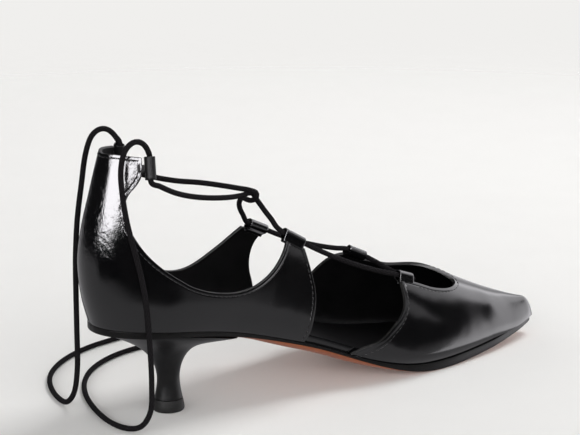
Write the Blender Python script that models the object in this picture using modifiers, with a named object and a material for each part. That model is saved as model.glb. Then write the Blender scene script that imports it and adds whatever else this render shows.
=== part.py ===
# Lace-up pump with a low heel, left shoe. Toe along +X, the shoe's left along +Y, floor at z = 0.
# Sizes are in millimetres and become metres when vertices are written.
# Design x runs from the back of the heel to the toe; the whole shoe is centred at the end.

import math

import bmesh
import bpy
import numpy as np
from mathutils import Matrix, Vector

MM = 0.001
MEDIAL = -1
LATERAL = 1

# Main sizes
SHOE_LENGTH = 262.0
HEEL_ROUND_X = 42.0
HEEL_ROUND_RUN = 46.0
TOE_NOSE = 6.0
TOE_CORNER = 5.0
TUCK_HEIGHT = 16.0
TOE_SWING = 4.0
HEEL_SWING = 2.8
WALL = 1.7
GAP = 0.3
INSOLE_THICKNESS = 4.2
INSOLE_INSET = 2.6
INSOLE_HOLLOW = 0.6
SOLE_MARGIN = 0.6
HEEL_MARGIN = 0.1
SOLE_CROWN = 5
CORD_RADIUS = 1.3
LOOP_RADIUS = 2.65
LOOP_WALL = 0.85
KNOT_RADIUS = 4.2

# The last, a row for each section; crest is the height of the section's crown over the feather line
SECTION_COLUMNS = ("x", "feather", "medial", "lateral", "tuck", "crest", "sole", "edge")
SECTIONS = (
    (0, 48.0, 26.2, 26.2, 0.06, 106.0, 3.0, 3.0),
    (20, 47.4, 27.0, 27.0, 0.06, 106.0, 2.8, 2.8),
    (40, 45.6, 27.2, 27.2, 0.07, 104.0, 2.3, 2.3),
    (60, 42.2, 26.8, 27.8, 0.09, 95.0, 2.4, 1.9),
    (80, 37.2, 26.2, 29.5, 0.11, 84.0, 3.8, 1.6),
    (100, 30.4, 26.4, 32.0, 0.12, 74.0, 5.4, 1.1),
    (120, 23.4, 27.4, 35.2, 0.12, 69.0, 5.6, 1.0),
    (140, 14.8, 29.3, 38.2, 0.11, 66.0, 5.4, 1.2),
    (160, 8.0, 31.5, 39.6, 0.10, 61.0, 5.2, 2.2),
    (175, 5.2, 32.2, 37.8, 0.09, 54.2, 5.6, 3.6),
    (190, 4.8, 30.6, 33.2, 0.08, 46.2, 5.4, 4.2),
    (205, 5.2, 27.0, 27.3, 0.07, 38.8, 4.6, 4.0),
    (220, 6.0, 22.0, 21.2, 0.06, 30.6, 3.9, 3.5),
    (235, 7.2, 16.6, 15.6, 0.05, 23.0, 3.5, 3.1),
    (250, 8.8, 11.4, 10.7, 0.05, 15.5, 3.3, 2.9),
    (262, 10.2, 8.0, 7.6, 0.05, 11.4, 3.1, 2.7),
)

# Centre back of the counter: height over the feather line, x
BACK_CURVE = ((0, 8.6), (10, 6.0), (20, 4.5), (32, 4.2), (45, 6.4), (60, 10.4), (80, 15.6), (95, 19.5))

# Quarter pattern, run along the side from the centre back, height over the feather line
COUNTER_TOP = ((0, 80.0), (15, 80.6), (30.4, 80.0))
NOTCH_FOOT = (48.5, 23.1)
NOTCH_EDGE = (
    NOTCH_FOOT, (40.1, 29.3), (34, 35.8), (27.6, 45.2), (23.6, 52.1), (22.4, 58.0), (23.8, 63.2),
    (27.8, 67.6), (30.2, 71.4), (30.4, 80.0),
)
WING_FOOT = {MEDIAL: (83.4, 22.9), LATERAL: (84.5, 23.6)}
SCOOP_EDGE = {
    MEDIAL: (NOTCH_FOOT, (56, 20.4), (66, 19.2), (75, 20.0), WING_FOOT[MEDIAL]),
    LATERAL: (NOTCH_FOOT, (57, 18.8), (66.8, 16.8), (76, 18.6), WING_FOOT[LATERAL]),
}
WING_REAR = {
    MEDIAL: (WING_FOOT[MEDIAL], (94.7, 31.2), (101.5, 39.4), (105.2, 45.4), (107.0, 49.4)),
    LATERAL: (WING_FOOT[LATERAL], (91.0, 29.0), (97.0, 34.5), (102.4, 40.2), (107.6, 45.9)),
}
WING_STEP = {MEDIAL: (119.6, 22.0), LATERAL: (116.0, 22.0)}
WING_FRONT = {
    MEDIAL: (WING_STEP[MEDIAL], (119.8, 28.0), (119.2, 33.0), (118.3, 38.5), (116.6, 46.8)),
    LATERAL: (WING_STEP[LATERAL], (114.9, 28.0), (115.1, 33.5), (116.6, 39.4), (119.4, 44.6)),
}
STRIP_FRONT = {
    MEDIAL: ((114.0, 0.0), (116.4, 6.4), (118.2, 14.9), WING_STEP[MEDIAL]),
    LATERAL: ((114.0, 0.0), (117.2, 6.4), (118.6, 12.6), (117.6, 18.0), WING_STEP[LATERAL]),
}
STRIP_BACK_HEIGHT = 20.0

# Vamp pattern, x and share of the way up the section from the feather line to the crown
VAMP_REAR = {
    MEDIAL: ((136.5, 0.0), (141.7, 0.045), (150.9, 0.11), (158.6, 0.20), (164.4, 0.28), (167.6, 0.36),
             (168.4, 0.44), (168.4, 0.50), (168.8, 0.56)),
    LATERAL: ((134.5, 0.0), (138.5, 0.06), (143.0, 0.14), (147.5, 0.24), (152.0, 0.33), (156.0, 0.41),
              (159.6, 0.48), (163.0, 0.53), (165.8, 0.562)),
}
THROAT_SIDE = {
    MEDIAL: ((168.8, 0.56), (174.0, 0.565), (178.2, 0.562), (181.0, 0.558), (186.5, 0.556), (197.0, 0.578),
             (204.8, 0.63)),
    LATERAL: ((165.8, 0.562), (172.6, 0.576), (180.0, 0.598), (188.0, 0.645), (193.2, 0.728), (198.0, 0.82)),
}
THROAT_FRONT_X = 213.5
VAMP_JOIN_X = 199.0

# Heel rings from the seat down
RING_COLUMNS = ("z", "x", "y", "rear", "front", "half_width", "square", "tilt")
HEEL_RINGS = (
    (40.2, 46.0, -2.8, 31.0, 31.0, 23.4, 3.0, 0.95),
    (37.4, 46.2, -3.0, 25.0, 24.6, 19.6, 2.6, 0.85),
    (34.8, 46.4, -3.4, 19.0, 18.2, 15.4, 2.3, 0.60),
    (32.0, 46.6, -3.8, 14.2, 13.4, 12.0, 2.1, 0.35),
    (29.0, 46.7, -4.1, 10.8, 10.2, 9.6, 2.0, 0.15),
    (25.4, 46.8, -4.3, 8.0, 7.6, 7.4, 2.0, 0.0),
    (21.0, 46.8, -4.5, 6.1, 5.9, 5.8, 2.0, 0.0),
    (15.4, 46.8, -4.5, 5.3, 5.2, 5.1, 2.0, 0.0),
    (10.4, 46.8, -4.5, 5.9, 5.8, 5.7, 2.0, 0.0),
    (6.0, 46.8, -4.5, 6.9, 6.7, 6.6, 2.0, 0.0),
)
SEAT_RING = {"x": 44.5, "y": -2.8, "rear": 34.6, "front": 35.0, "half_width": 24.6, "square": 3.4}
TOP_PIECE_RINGS = (
    (5.7, 46.8, -4.5, 7.0, 6.8, 6.7, 2.0, 0.0),
    (1.0, 46.8, -4.5, 8.0, 7.7, 7.6, 2.0, 0.0),
    (0.0, 46.8, -4.5, 7.6, 7.3, 7.2, 2.0, 0.0),
)
HEEL_SEGMENTS = 28

# Lace loops, two ends on the pattern: run and height
HEEL_LOOP = ((34.8, 80.6), (34.8, 70.4))
WING_LOOP = {MEDIAL: ((106.6, 52.6), (117.2, 49.9)), LATERAL: ((111.0, 49.0), (121.4, 47.7))}
VAMP_LOOP = {MEDIAL: ((167.6, 47.5), (177.8, 43.9)), LATERAL: ((164.6, 48.8), (174.8, 45.5))}
LOOP_SEGMENTS = 12

# Lace routes between the loops
LACE_SAG = 2.0
CROSSING = (93.5, -1.0, 98.6)
MOUTH_GAP = 0.6

# Ties, from over the heel loop down to the floor
TIE_MEDIAL = (
    (30.2, -18.9, 132.0), (25.0, -20.0, 135.4), (19.0, -21.2, 133.0), (16.0, -22.0, 125.5),
    (16.0, -22.6, 112.0), (17.6, -24.0, 98.0), (20.4, -25.9, 84.0), (22.8, -27.7, 70.0),
    (24.2, -28.5, 56.0), (25.0, -28.7, 40.0), (25.4, -28.7, 22.0), (24.4, -28.4, 9.0),
    (20.8, -26.6, 2.8), (16.4, -21.0, 1.5), (13.6, -12.0, 1.5), (13.6, 0.0, 1.5), (15.6, 14.0, 1.5),
    (19.8, 30.0, 1.5), (27.0, 46.0, 1.5), (38.5, 61.0, 1.5), (56.0, 73.0, 1.5), (80.0, 79.0, 1.5),
    (108.0, 78.0, 1.5), (136.0, 71.0, 1.5), (162.0, 63.0, 1.5), (188.0, 59.0, 1.5), (208.0, 63.0, 1.5),
    (213.0, 72.0, 1.5), (203.0, 79.5, 1.5), (180.0, 81.0, 1.5), (152.0, 85.0, 1.5), (124.0, 89.0, 1.5),
    (104.0, 89.0, 1.5),
)
TIE_LATERAL = (
    (30.2, 13.6, 132.0), (25.6, 14.2, 135.2), (20.0, 14.6, 132.8), (17.0, 14.7, 126.0),
    (13.6, 14.2, 110.0), (10.6, 13.4, 94.0), (9.0, 12.9, 78.0), (8.6, 13.0, 60.0), (8.5, 13.2, 40.0),
    (8.2, 13.6, 20.0), (7.2, 15.8, 8.5), (6.2, 21.5, 2.6), (6.4, 31.0, 1.5), (9.5, 47.0, 1.5),
    (17.0, 64.0, 1.5), (30.0, 79.0, 1.5), (49.0, 91.0, 1.5), (74.0, 98.0, 1.5), (102.0, 101.0, 1.5),
    (132.0, 100.0, 1.5), (160.0, 97.0, 1.5), (188.0, 94.0, 1.5), (210.0, 97.0, 1.5), (218.0, 106.0, 1.5),
    (208.0, 114.0, 1.5), (184.0, 114.0, 1.5), (156.0, 111.0, 1.5), (130.0, 112.0, 1.5),
    (106.0, 116.0, 1.5), (86.0, 117.0, 1.5),
)
TIE_POINTS = 60


def clear_scene():
    for obj in list(bpy.data.objects):
        bpy.data.objects.remove(obj, do_unlink=True)


def hermite(knots, values, at):
    """Smooth curve through the values at the knots."""
    knots = np.asarray(knots, float)
    values = np.asarray(values, float)
    steps = np.diff(knots)
    slopes = np.diff(values) / steps
    inner = (slopes[:-1] * steps[1:] + slopes[1:] * steps[:-1]) / (steps[1:] + steps[:-1])
    tangents = np.concatenate([slopes[:1], inner, slopes[-1:]])
    at = np.clip(np.asarray(at, float), knots[0], knots[-1])
    i = np.clip(np.searchsorted(knots, at) - 1, 0, len(knots) - 2)
    t = (at - knots[i]) / steps[i]
    start = (1 + 2 * t) * (1 - t) ** 2 * values[i] + t * (1 - t) ** 2 * steps[i] * tangents[i]
    end = t * t * (3 - 2 * t) * values[i + 1] + t * t * (t - 1) * steps[i] * tangents[i + 1]
    return start + end


def trace(points, count):
    """Evenly spaced points on a smooth curve through the given ones."""
    points = np.asarray(points, float)
    runs = np.concatenate([[0], np.cumsum(np.linalg.norm(np.diff(points, axis=0), axis=1))])
    fine_runs = np.linspace(0, runs[-1], 400)
    fine = np.stack([hermite(runs, points[:, k], fine_runs) for k in range(points.shape[1])], axis=-1)
    true_runs = np.concatenate([[0], np.cumsum(np.linalg.norm(np.diff(fine, axis=0), axis=1))])
    wanted = np.linspace(0, true_runs[-1], count)
    return np.stack([np.interp(wanted, true_runs, fine[:, k]) for k in range(points.shape[1])], axis=-1)


def ease(t):
    t = np.clip(t, 0, 1)
    return t * t * (3 - 2 * t)


TABLE = np.asarray(SECTIONS, float)


def section(name, x):
    return hermite(TABLE[:, 0], TABLE[:, SECTION_COLUMNS.index(name)], x)


def axis_y(x):
    """Sideways place of the last's centre."""
    toe = ease((x - 170) / (SHOE_LENGTH - 170))
    heel = ease((150 - x) / 110)
    return -TOE_SWING * toe - HEEL_SWING * heel


def crest(x):
    nose = np.clip((x - (SHOE_LENGTH - TOE_NOSE)) / TOE_NOSE, 0, 1)
    return section("crest", x) * np.sqrt(1 - nose * nose)


def half_width(side, x):
    wide = section("medial" if side == MEDIAL else "lateral", x)
    corner = np.clip((x - (SHOE_LENGTH - TOE_CORNER)) / TOE_CORNER, 0, 1)
    return wide - TOE_CORNER * (1 - np.sqrt(1 - corner * corner))


def tucked(x, h):
    return 1 - section("tuck", x) * np.maximum(1 - h / TUCK_HEIGHT, 0) ** 2


def back_x(h):
    heights, places = zip(*BACK_CURVE)
    return hermite(heights, places, h)


def quarter_point(side, run, h):
    """Outer face of the upper at a run from the centre back and a height over the feather line."""
    run = np.asarray(run, float)
    h = np.asarray(h, float)
    turn = np.clip(run / HEEL_ROUND_RUN, 0, 1) * math.pi / 2
    in_round = run < HEEL_ROUND_RUN
    round_x = HEEL_ROUND_X - (HEEL_ROUND_X - back_x(h)) * np.cos(turn)
    x = np.where(in_round, round_x, HEEL_ROUND_X + run - HEEL_ROUND_RUN)
    at = np.where(in_round, HEEL_ROUND_X, x)
    arch = np.sqrt(1 - np.clip(h / crest(at), 0, 1) ** 2)
    w = half_width(side, at) * arch * tucked(at, h) * np.sin(turn)
    return np.stack([x, side * w + axis_y(x), section("feather", x) + h], axis=-1)


def vamp_point(side, x, share):
    """Outer face of the upper at a section and a share of the way up it."""
    x = np.asarray(x, float)
    angle = np.asarray(share, float) * math.pi / 2
    h = crest(x) * np.sin(angle)
    w = half_width(side, x) * np.cos(angle) * tucked(x, h)
    return np.stack([x, side * w + axis_y(x), section("feather", x) + h], axis=-1)


def coons(bottom, top, left, right):
    """Grid of pattern points between four edges."""
    bottom, top, left, right = (np.asarray(edge, float) for edge in (bottom, top, left, right))
    u = np.linspace(0, 1, len(bottom))[:, None, None]
    v = np.linspace(0, 1, len(left))[None, :, None]
    ruled = (1 - v) * bottom[:, None] + v * top[:, None] + (1 - u) * left[None] + u * right[None]
    corners = (1 - u) * ((1 - v) * bottom[0] + v * top[0]) + u * ((1 - v) * bottom[-1] + v * top[-1])
    return ruled - corners


def straight(start, end, count):
    return np.linspace(start, end, count)


def new_object(name, bm, material):
    mesh = bpy.data.meshes.new(name)
    bm.to_mesh(mesh)
    bm.free()
    for polygon in mesh.polygons:
        polygon.use_smooth = True
    obj = bpy.data.objects.new(name, mesh)
    PARTS.objects.link(obj)
    obj.data.materials.append(material)
    return obj


def add_grid(bm, points, flip):
    """Quads over a grid of points in millimetres."""
    rows = [[bm.verts.new(Vector(point) * MM) for point in row] for row in points]
    for i in range(len(rows) - 1):
        for j in range(len(rows[0]) - 1):
            corners = [rows[i][j], rows[i + 1][j], rows[i + 1][j + 1], rows[i][j + 1]]
            bm.faces.new(corners[::-1] if flip else corners)


def thicken(obj, thickness):
    solid = obj.modifiers.new("wall", "SOLIDIFY")
    solid.thickness = thickness * MM
    solid.offset = -1
    solid.use_even_offset = True


def leather_panel(name, grids, material):
    """Shell of the upper from grids of outer-face points."""
    bm = bmesh.new()
    for points, flip in grids:
        add_grid(bm, points, flip)
    bmesh.ops.remove_doubles(bm, verts=bm.verts, dist=0.02 * MM)
    obj = new_object(name, bm, material)
    thicken(obj, WALL)
    return obj


def quarter_blocks(side):
    """Pattern grids of one side: the strip over the sole, the counter and the wing."""
    heel_columns, scoop_columns, wing_columns = 9, 6, 7
    heel_rows, wing_rows, strip_rows = 13, 7, 4
    strip_line = np.concatenate([
        straight((0, STRIP_BACK_HEIGHT), NOTCH_FOOT, heel_columns + 1),
        trace(SCOOP_EDGE[side], scoop_columns + 1)[1:],
        straight(WING_FOOT[side], WING_STEP[side], wing_columns + 1)[1:],
    ])
    feather_runs = strip_line[:, 0] * STRIP_FRONT[side][0][0] / WING_STEP[side][0]
    strip = coons(
        np.stack([feather_runs, 0 * feather_runs], axis=-1),
        strip_line,
        straight((0, 0), (0, STRIP_BACK_HEIGHT), strip_rows + 1),
        trace(STRIP_FRONT[side], strip_rows + 1),
    )
    counter = coons(
        strip_line[: heel_columns + 1],
        trace(COUNTER_TOP, heel_columns + 1),
        straight((0, STRIP_BACK_HEIGHT), COUNTER_TOP[0], heel_rows + 1),
        trace(NOTCH_EDGE, heel_rows + 1),
    )
    wing = coons(
        strip_line[heel_columns + scoop_columns:],
        straight(WING_REAR[side][-1], WING_FRONT[side][-1], wing_columns + 1),
        trace(WING_REAR[side], wing_rows + 1),
        trace(WING_FRONT[side], wing_rows + 1),
    )
    return strip, counter, wing


def make_quarter(material):
    grids = []
    for side in (MEDIAL, LATERAL):
        for block in quarter_blocks(side):
            grids.append((quarter_point(side, block[..., 0], block[..., 1]), side == LATERAL))
    return leather_panel("quarter", grids, material)


def make_vamp(material):
    side_columns, side_rows, throat_columns, length_rows = 9, 8, 4, 9
    nose_turns = np.radians((24, 48, 70, 90))
    nose_x = SHOE_LENGTH - TOE_NOSE + TOE_NOSE * np.sin(nose_turns)
    grids = []
    for side in (MEDIAL, LATERAL):
        corner_x, corner_share = THROAT_SIDE[side][-1]
        join = straight((VAMP_JOIN_X, 0), (corner_x, corner_share), side_rows + 1)
        rear = trace(VAMP_REAR[side], side_rows + 1)
        block = coons(
            straight(rear[0], join[0], side_columns + 1),
            trace(THROAT_SIDE[side], side_columns + 1),
            rear,
            join,
        )
        grids.append((vamp_point(side, block[..., 0], block[..., 1]), side == LATERAL))
        turns = np.linspace(0, 1, throat_columns + 1)
        throat = np.stack([
            corner_x + (THROAT_FRONT_X - corner_x) * np.sin(turns * math.pi / 2),
            corner_share + (1 - corner_share) * turns,
        ], axis=-1)
        start = np.concatenate([join, throat[1:]])
        rows = [start + (np.array([SHOE_LENGTH - TOE_NOSE, 0]) - start) * np.array([t, 0])
                for t in np.linspace(0, 1, length_rows + 1)]
        rows += [np.stack([0 * start[:, 0] + x, start[:, 1]], axis=-1) for x in nose_x]
        front = np.asarray(rows)
        grids.append((vamp_point(side, front[..., 0], front[..., 1]), side == LATERAL))
    return leather_panel("vamp", grids, material)


def sole_margin(x):
    """How far the sole stands out past the feather line."""
    return HEEL_MARGIN + (SOLE_MARGIN - HEEL_MARGIN) * float(ease((x - 60) / 80))


def sole_rows(inset_at):
    """Stations of a plate: x and the two edges, from the centre back to the toe."""
    back = float(back_x(0)) + inset_at(0)
    end = SHOE_LENGTH - inset_at(SHOE_LENGTH)
    rows = []
    for turn in np.radians((10, 22, 34, 46, 58, 70, 80)):
        x = HEEL_ROUND_X - (HEEL_ROUND_X - back) * math.cos(turn)
        rows.append((x, math.sin(turn)))
    rows += [(x, 1.0) for x in np.linspace(HEEL_ROUND_X, end - 16, 25)]
    rows += [(end - d, 1.0) for d in (11.0, 7.0, 4.0, 2.0, 0.8, 0.0)]
    stations = []
    for x, share in rows:
        at = max(x, HEEL_ROUND_X)
        inset = inset_at(at)
        toe = min(max((at - 200) / (end - 200), 0), 1)
        look = min(at + inset * toe, SHOE_LENGTH)
        narrow = 1 - float(section("tuck", at))
        middle = float(axis_y(x))
        reach = [share * (float(half_width(side, look)) * narrow - inset) for side in (MEDIAL, LATERAL)]
        stations.append((x, middle - reach[0], middle + reach[1]))
    return stations


def make_plate(name, inset_at, top_z, bottom_z, material):
    """Closed plate between two height functions of x and the share across."""
    columns = 10
    stations = sole_rows(inset_at)
    top, bottom = [], []
    for x, right, left in stations:
        shares = np.sin(np.linspace(-math.pi / 2, math.pi / 2, columns + 1))
        ys = right + (left - right) * (shares + 1) / 2
        top.append([(x, y, top_z(x, q)) for y, q in zip(ys, shares)])
        bottom.append([(x, y, bottom_z(x, q)) for y, q in zip(ys, shares)])
    bm = bmesh.new()
    add_grid(bm, top, False)
    add_grid(bm, bottom, True)
    for side in (0, columns):
        wall = [[row[side] for row in top], [row[side] for row in bottom]]
        add_grid(bm, wall, side == 0)
    for end in (0, -1):
        add_grid(bm, [top[end], bottom[end]], end == -1)
    bmesh.ops.remove_doubles(bm, verts=bm.verts, dist=0.02 * MM)
    bmesh.ops.recalc_face_normals(bm, faces=bm.faces)
    return new_object(name, bm, material)


def feather_z(x):
    return float(section("feather", x))


def sole_bottom(x, share):
    thick, edge = float(section("sole", x)), float(section("edge", x))
    depth = edge + (thick - edge) * (1 - abs(share) ** SOLE_CROWN)
    return max(0.0, feather_z(x) - GAP - depth)


def insole_top(x, share):
    return feather_z(x) + INSOLE_THICKNESS - INSOLE_HOLLOW * (1 - share * share)


def sole_top(x, share):
    return feather_z(x) - GAP


def make_outsole(material):
    return make_plate("outsole", lambda x: -sole_margin(x), sole_top, sole_bottom, material)


def make_insole(material):
    return make_plate("insole", lambda x: INSOLE_INSET, insole_top, lambda x, q: feather_z(x), material)


def ring_points(ring, z_of):
    """Ring that is round behind and squarer in front."""
    points = []
    for k in range(HEEL_SEGMENTS):
        angle = 2 * math.pi * k / HEEL_SEGMENTS
        c, s = math.cos(angle), math.sin(angle)
        power = 2 / ring["square"] if c > 0 else 1.0
        dx = math.copysign(abs(c) ** power, c) * (ring["front"] if c > 0 else ring["rear"])
        dy = math.copysign(abs(s) ** power, s) * ring["half_width"]
        x, y = ring["x"] + dx, ring["y"] + dy
        points.append((x, y, z_of(x, y)))
    return points


def loft(name, rings, material):
    bm = bmesh.new()
    loops = [[bm.verts.new(Vector(point) * MM) for point in ring] for ring in rings]
    for upper, lower in zip(loops, loops[1:]):
        for k in range(HEEL_SEGMENTS):
            after = (k + 1) % HEEL_SEGMENTS
            bm.faces.new((upper[k], lower[k], lower[after], upper[after]))
    for cap in (loops[0], loops[-1]):
        bm.faces.new(cap)
    bmesh.ops.recalc_face_normals(bm, faces=bm.faces)
    return new_object(name, bm, material)


def seat_z(x, y):
    """Underside of the sole over the heel, taken at its lowest across the width."""
    return sole_bottom(x, 0.0) - GAP


def make_heel(material):
    rings = [ring_points(SEAT_RING, seat_z)]
    for row in HEEL_RINGS:
        ring = dict(zip(RING_COLUMNS, row))
        level = seat_z(ring["x"], 0)

        def ring_z(x, y, ring=ring, level=level):
            return ring["z"] + ring["tilt"] * (seat_z(x, y) - level)

        rings.append(ring_points(ring, ring_z))
    return loft("heel", rings, material)


def make_top_piece(material):
    rings = []
    for row in TOP_PIECE_RINGS:
        ring = dict(zip(RING_COLUMNS, row))
        rings.append(ring_points(ring, lambda x, y, z=ring["z"]: z))
    return loft("heel_top_piece", rings, material)


def mid_wall(side, run, h):
    """Middle of the wall's thickness on the pattern."""
    here = quarter_point(side, run, h)
    along = quarter_point(side, run + 0.5, h) - here
    up = quarter_point(side, run, h + 0.5) - here
    normal = np.cross(along, up) * (1 if side == MEDIAL else -1)
    return here - normal / np.linalg.norm(normal) * WALL / 2


def loop_ends(side, place):
    ends = {"heel": HEEL_LOOP, "wing": WING_LOOP[side], "vamp": VAMP_LOOP[side]}[place]
    shift = HEEL_ROUND_RUN - HEEL_ROUND_X if place == "vamp" else 0
    return [mid_wall(side, run + shift, h) for run, h in ends]


def make_loop(name, side, place, material):
    """Leather tunnel for the lace on a tab's edge."""
    start, end = (Vector(point) for point in loop_ends(side, place))
    axis = end - start
    bm = bmesh.new()
    bmesh.ops.create_cone(bm, cap_ends=False, segments=LOOP_SEGMENTS, radius1=LOOP_RADIUS * MM,
                          radius2=LOOP_RADIUS * MM, depth=axis.length * MM)
    turn = axis.to_track_quat("Z", "Y").to_matrix().to_4x4()
    bmesh.ops.transform(bm, matrix=Matrix.Translation((start + end) / 2 * MM) @ turn, verts=bm.verts)
    obj = new_object(name, bm, material)
    thicken(obj, LOOP_WALL)
    return obj


def mouth(side, place, end, clear=MOUTH_GAP):
    """Point just outside one mouth of a loop, on its axis."""
    ends = loop_ends(side, place)
    out = ends[end] - ends[1 - end]
    return ends[end] + out / np.linalg.norm(out) * clear


def cord_curve(name, points, material):
    curve = bpy.data.curves.new(name, "CURVE")
    curve.dimensions = "3D"
    curve.bevel_depth = CORD_RADIUS * MM
    curve.bevel_resolution = 2
    curve.use_fill_caps = True
    spline = curve.splines.new("POLY")
    spline.points.add(len(points) - 1)
    for target, point in zip(spline.points, points):
        target.co = (*(np.asarray(point, float) * MM), 1)
    obj = bpy.data.objects.new(name, curve)
    PARTS.objects.link(obj)
    obj.data.materials.append(material)
    return obj


def cord_solid(name, points, collection, material):
    """Cord as a mesh, for joining with others."""
    curve_object = cord_curve(name + "_route", points, material)
    graph = bpy.context.evaluated_depsgraph_get()
    mesh = bpy.data.meshes.new_from_object(curve_object.evaluated_get(graph))
    bpy.data.objects.remove(curve_object, do_unlink=True)
    bm = bmesh.new()
    bm.from_mesh(mesh)
    bmesh.ops.remove_doubles(bm, verts=bm.verts, dist=0.02 * MM)
    bm.to_mesh(mesh)
    bm.free()
    obj = bpy.data.objects.new(name, mesh)
    collection.objects.link(obj)
    return obj


def join_onto(obj, other):
    other.hide_render = True
    other.display_type = "WIRE"
    union = obj.modifiers.new("join", "BOOLEAN")
    union.operation = "UNION"
    union.solver = "EXACT"
    union.object = other


def make_lace_front(name, side, material):
    """Cord from a wing loop's front mouth to the vamp loop's rear mouth, hanging a little."""
    rear_end, toe_end = mouth(side, "wing", 1), mouth(side, "vamp", 0)
    shares = np.linspace(0, 1, 9)
    points = rear_end + (toe_end - rear_end) * shares[:, None]
    points[:, 2] -= 4 * LACE_SAG * shares * (1 - shares)
    cord_curve(name, trace(points, 13), material)


def make_lace_crossing(material):
    """Two cords that cross over the instep, from the wing loops to the heel loops."""
    centre = np.asarray(CROSSING)
    routes = []
    for side in (MEDIAL, LATERAL):
        wing_end = mouth(-side, "wing", 0)
        heel_end = mouth(side, "heel", 1)
        wing_dir = wing_end - mouth(-side, "wing", 0, 0.0)
        heel_dir = heel_end - mouth(side, "heel", 1, 0.0)
        rise = wing_end + wing_dir * 5 + np.array([0, 0, 3.0])
        drop = heel_end + heel_dir * 3.5 + np.array([1.5, 0, 0])
        sag = np.array([62.0, 11.5 * side - 2.0, 103.4])
        routes.append(trace([wing_end, rise, centre, sag, drop, heel_end], 16))
    bar = cord_solid("lace_crossing", routes[0], PARTS, material)
    other = cord_solid("lace_crossing_other", routes[1], CUTTERS, material)
    join_onto(bar, other)
    return bar


def make_tie(name, route, side, material):
    """Free end of the lace, from the heel loop's upper mouth to the floor."""
    start = mouth(side, "heel", 0)
    points = trace([start, *route], TIE_POINTS)
    points[:, 2] = np.maximum(points[:, 2], CORD_RADIUS + 0.1)
    cord_curve(name, points, material)
    return points


def make_tie_knot(name, points, material):
    """Knot just past the end of a tie."""
    along = points[-1] - points[-2]
    centre = points[-1] + along / np.linalg.norm(along) * (KNOT_RADIUS + GAP)
    centre[2] = KNOT_RADIUS
    bm = bmesh.new()
    bmesh.ops.create_uvsphere(bm, u_segments=12, v_segments=8, radius=KNOT_RADIUS * MM)
    bmesh.ops.translate(bm, vec=Vector(centre) * MM, verts=bm.verts)
    return new_object(name, bm, material)


def make_material(name, color, roughness):
    material = bpy.data.materials.new(name)
    material.use_nodes = True
    shader = material.node_tree.nodes["Principled BSDF"]
    shader.inputs["Base Color"].default_value = (*color, 1)
    shader.inputs["Roughness"].default_value = roughness
    return material


def centre_shoe(cord_names):
    """Hang everything from an empty that puts the middle of the shoe's footprint at the origin."""
    bpy.context.view_layer.update()
    graph = bpy.context.evaluated_depsgraph_get()
    corners = []
    for obj in PARTS.objects:
        if obj.name not in cord_names:
            mesh = obj.evaluated_get(graph).to_mesh()
            corners.extend(vertex.co.copy() for vertex in mesh.vertices)
    corners = np.asarray(corners)
    low, high = corners.min(axis=0), corners.max(axis=0)
    frame = bpy.data.objects.new("shoe_frame", None)
    PARTS.objects.link(frame)
    frame.location = (-(low[0] + high[0]) / 2, -(low[1] + high[1]) / 2, -low[2])
    for obj in list(PARTS.objects) + list(CUTTERS.objects):
        if obj is not frame:
            obj.parent = frame
    print("shoe frame moved by", [round(value / MM, 3) for value in frame.location])


clear_scene()
PARTS = bpy.data.collections.new("lace_up_pump")
CUTTERS = bpy.data.collections.new("joined_pieces")
bpy.context.scene.collection.children.link(PARTS)
bpy.context.scene.collection.children.link(CUTTERS)
LEATHER = make_material("black_leather", (0.012, 0.012, 0.014), 0.22)
LINING = make_material("black_lining", (0.02, 0.019, 0.019), 0.6)
SOLE_LEATHER = make_material("tan_sole", (0.30, 0.10, 0.035), 0.5)
HEEL_COVER = make_material("heel_cover", (0.015, 0.015, 0.016), 0.4)
RUBBER = make_material("top_piece", (0.02, 0.02, 0.02), 0.6)
CORD = make_material("cord", (0.03, 0.028, 0.028), 0.7)

make_outsole(SOLE_LEATHER)
make_insole(LINING)
make_quarter(LEATHER)
make_vamp(LEATHER)
make_heel(HEEL_COVER)
make_top_piece(RUBBER)
for side_name, shoe_side in (("medial", MEDIAL), ("lateral", LATERAL)):
    for loop_place in ("heel", "wing", "vamp"):
        make_loop(loop_place + "_loop_" + side_name, shoe_side, loop_place, LEATHER)
    make_lace_front("lace_front_" + side_name, shoe_side, CORD)
make_lace_crossing(CORD)
for side_name, shoe_side, tie_route in (("medial", MEDIAL, TIE_MEDIAL), ("lateral", LATERAL, TIE_LATERAL)):
    tie_points = make_tie("tie_" + side_name, tie_route, shoe_side, CORD)
    make_tie_knot("tie_knot_" + side_name, tie_points, CORD)
centre_shoe(("tie_medial", "tie_lateral", "tie_knot_medial", "tie_knot_lateral"))
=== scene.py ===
# %% [markdown]
# # A laced pump with a low heel
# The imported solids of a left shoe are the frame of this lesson. They stay where they are, and each
# one is dressed here with a smoother skin, real seams, stitches, braided lace and its own finish.
# Lengths are worked out in millimetres in the maker's own frame, where x runs from the back of the
# heel to the toe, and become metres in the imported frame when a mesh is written.

import math

import bpy
import numpy as np
from mathutils import Matrix, Vector, noise
from mathutils.bvhtree import BVHTree
from mathutils.kdtree import KDTree


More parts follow.
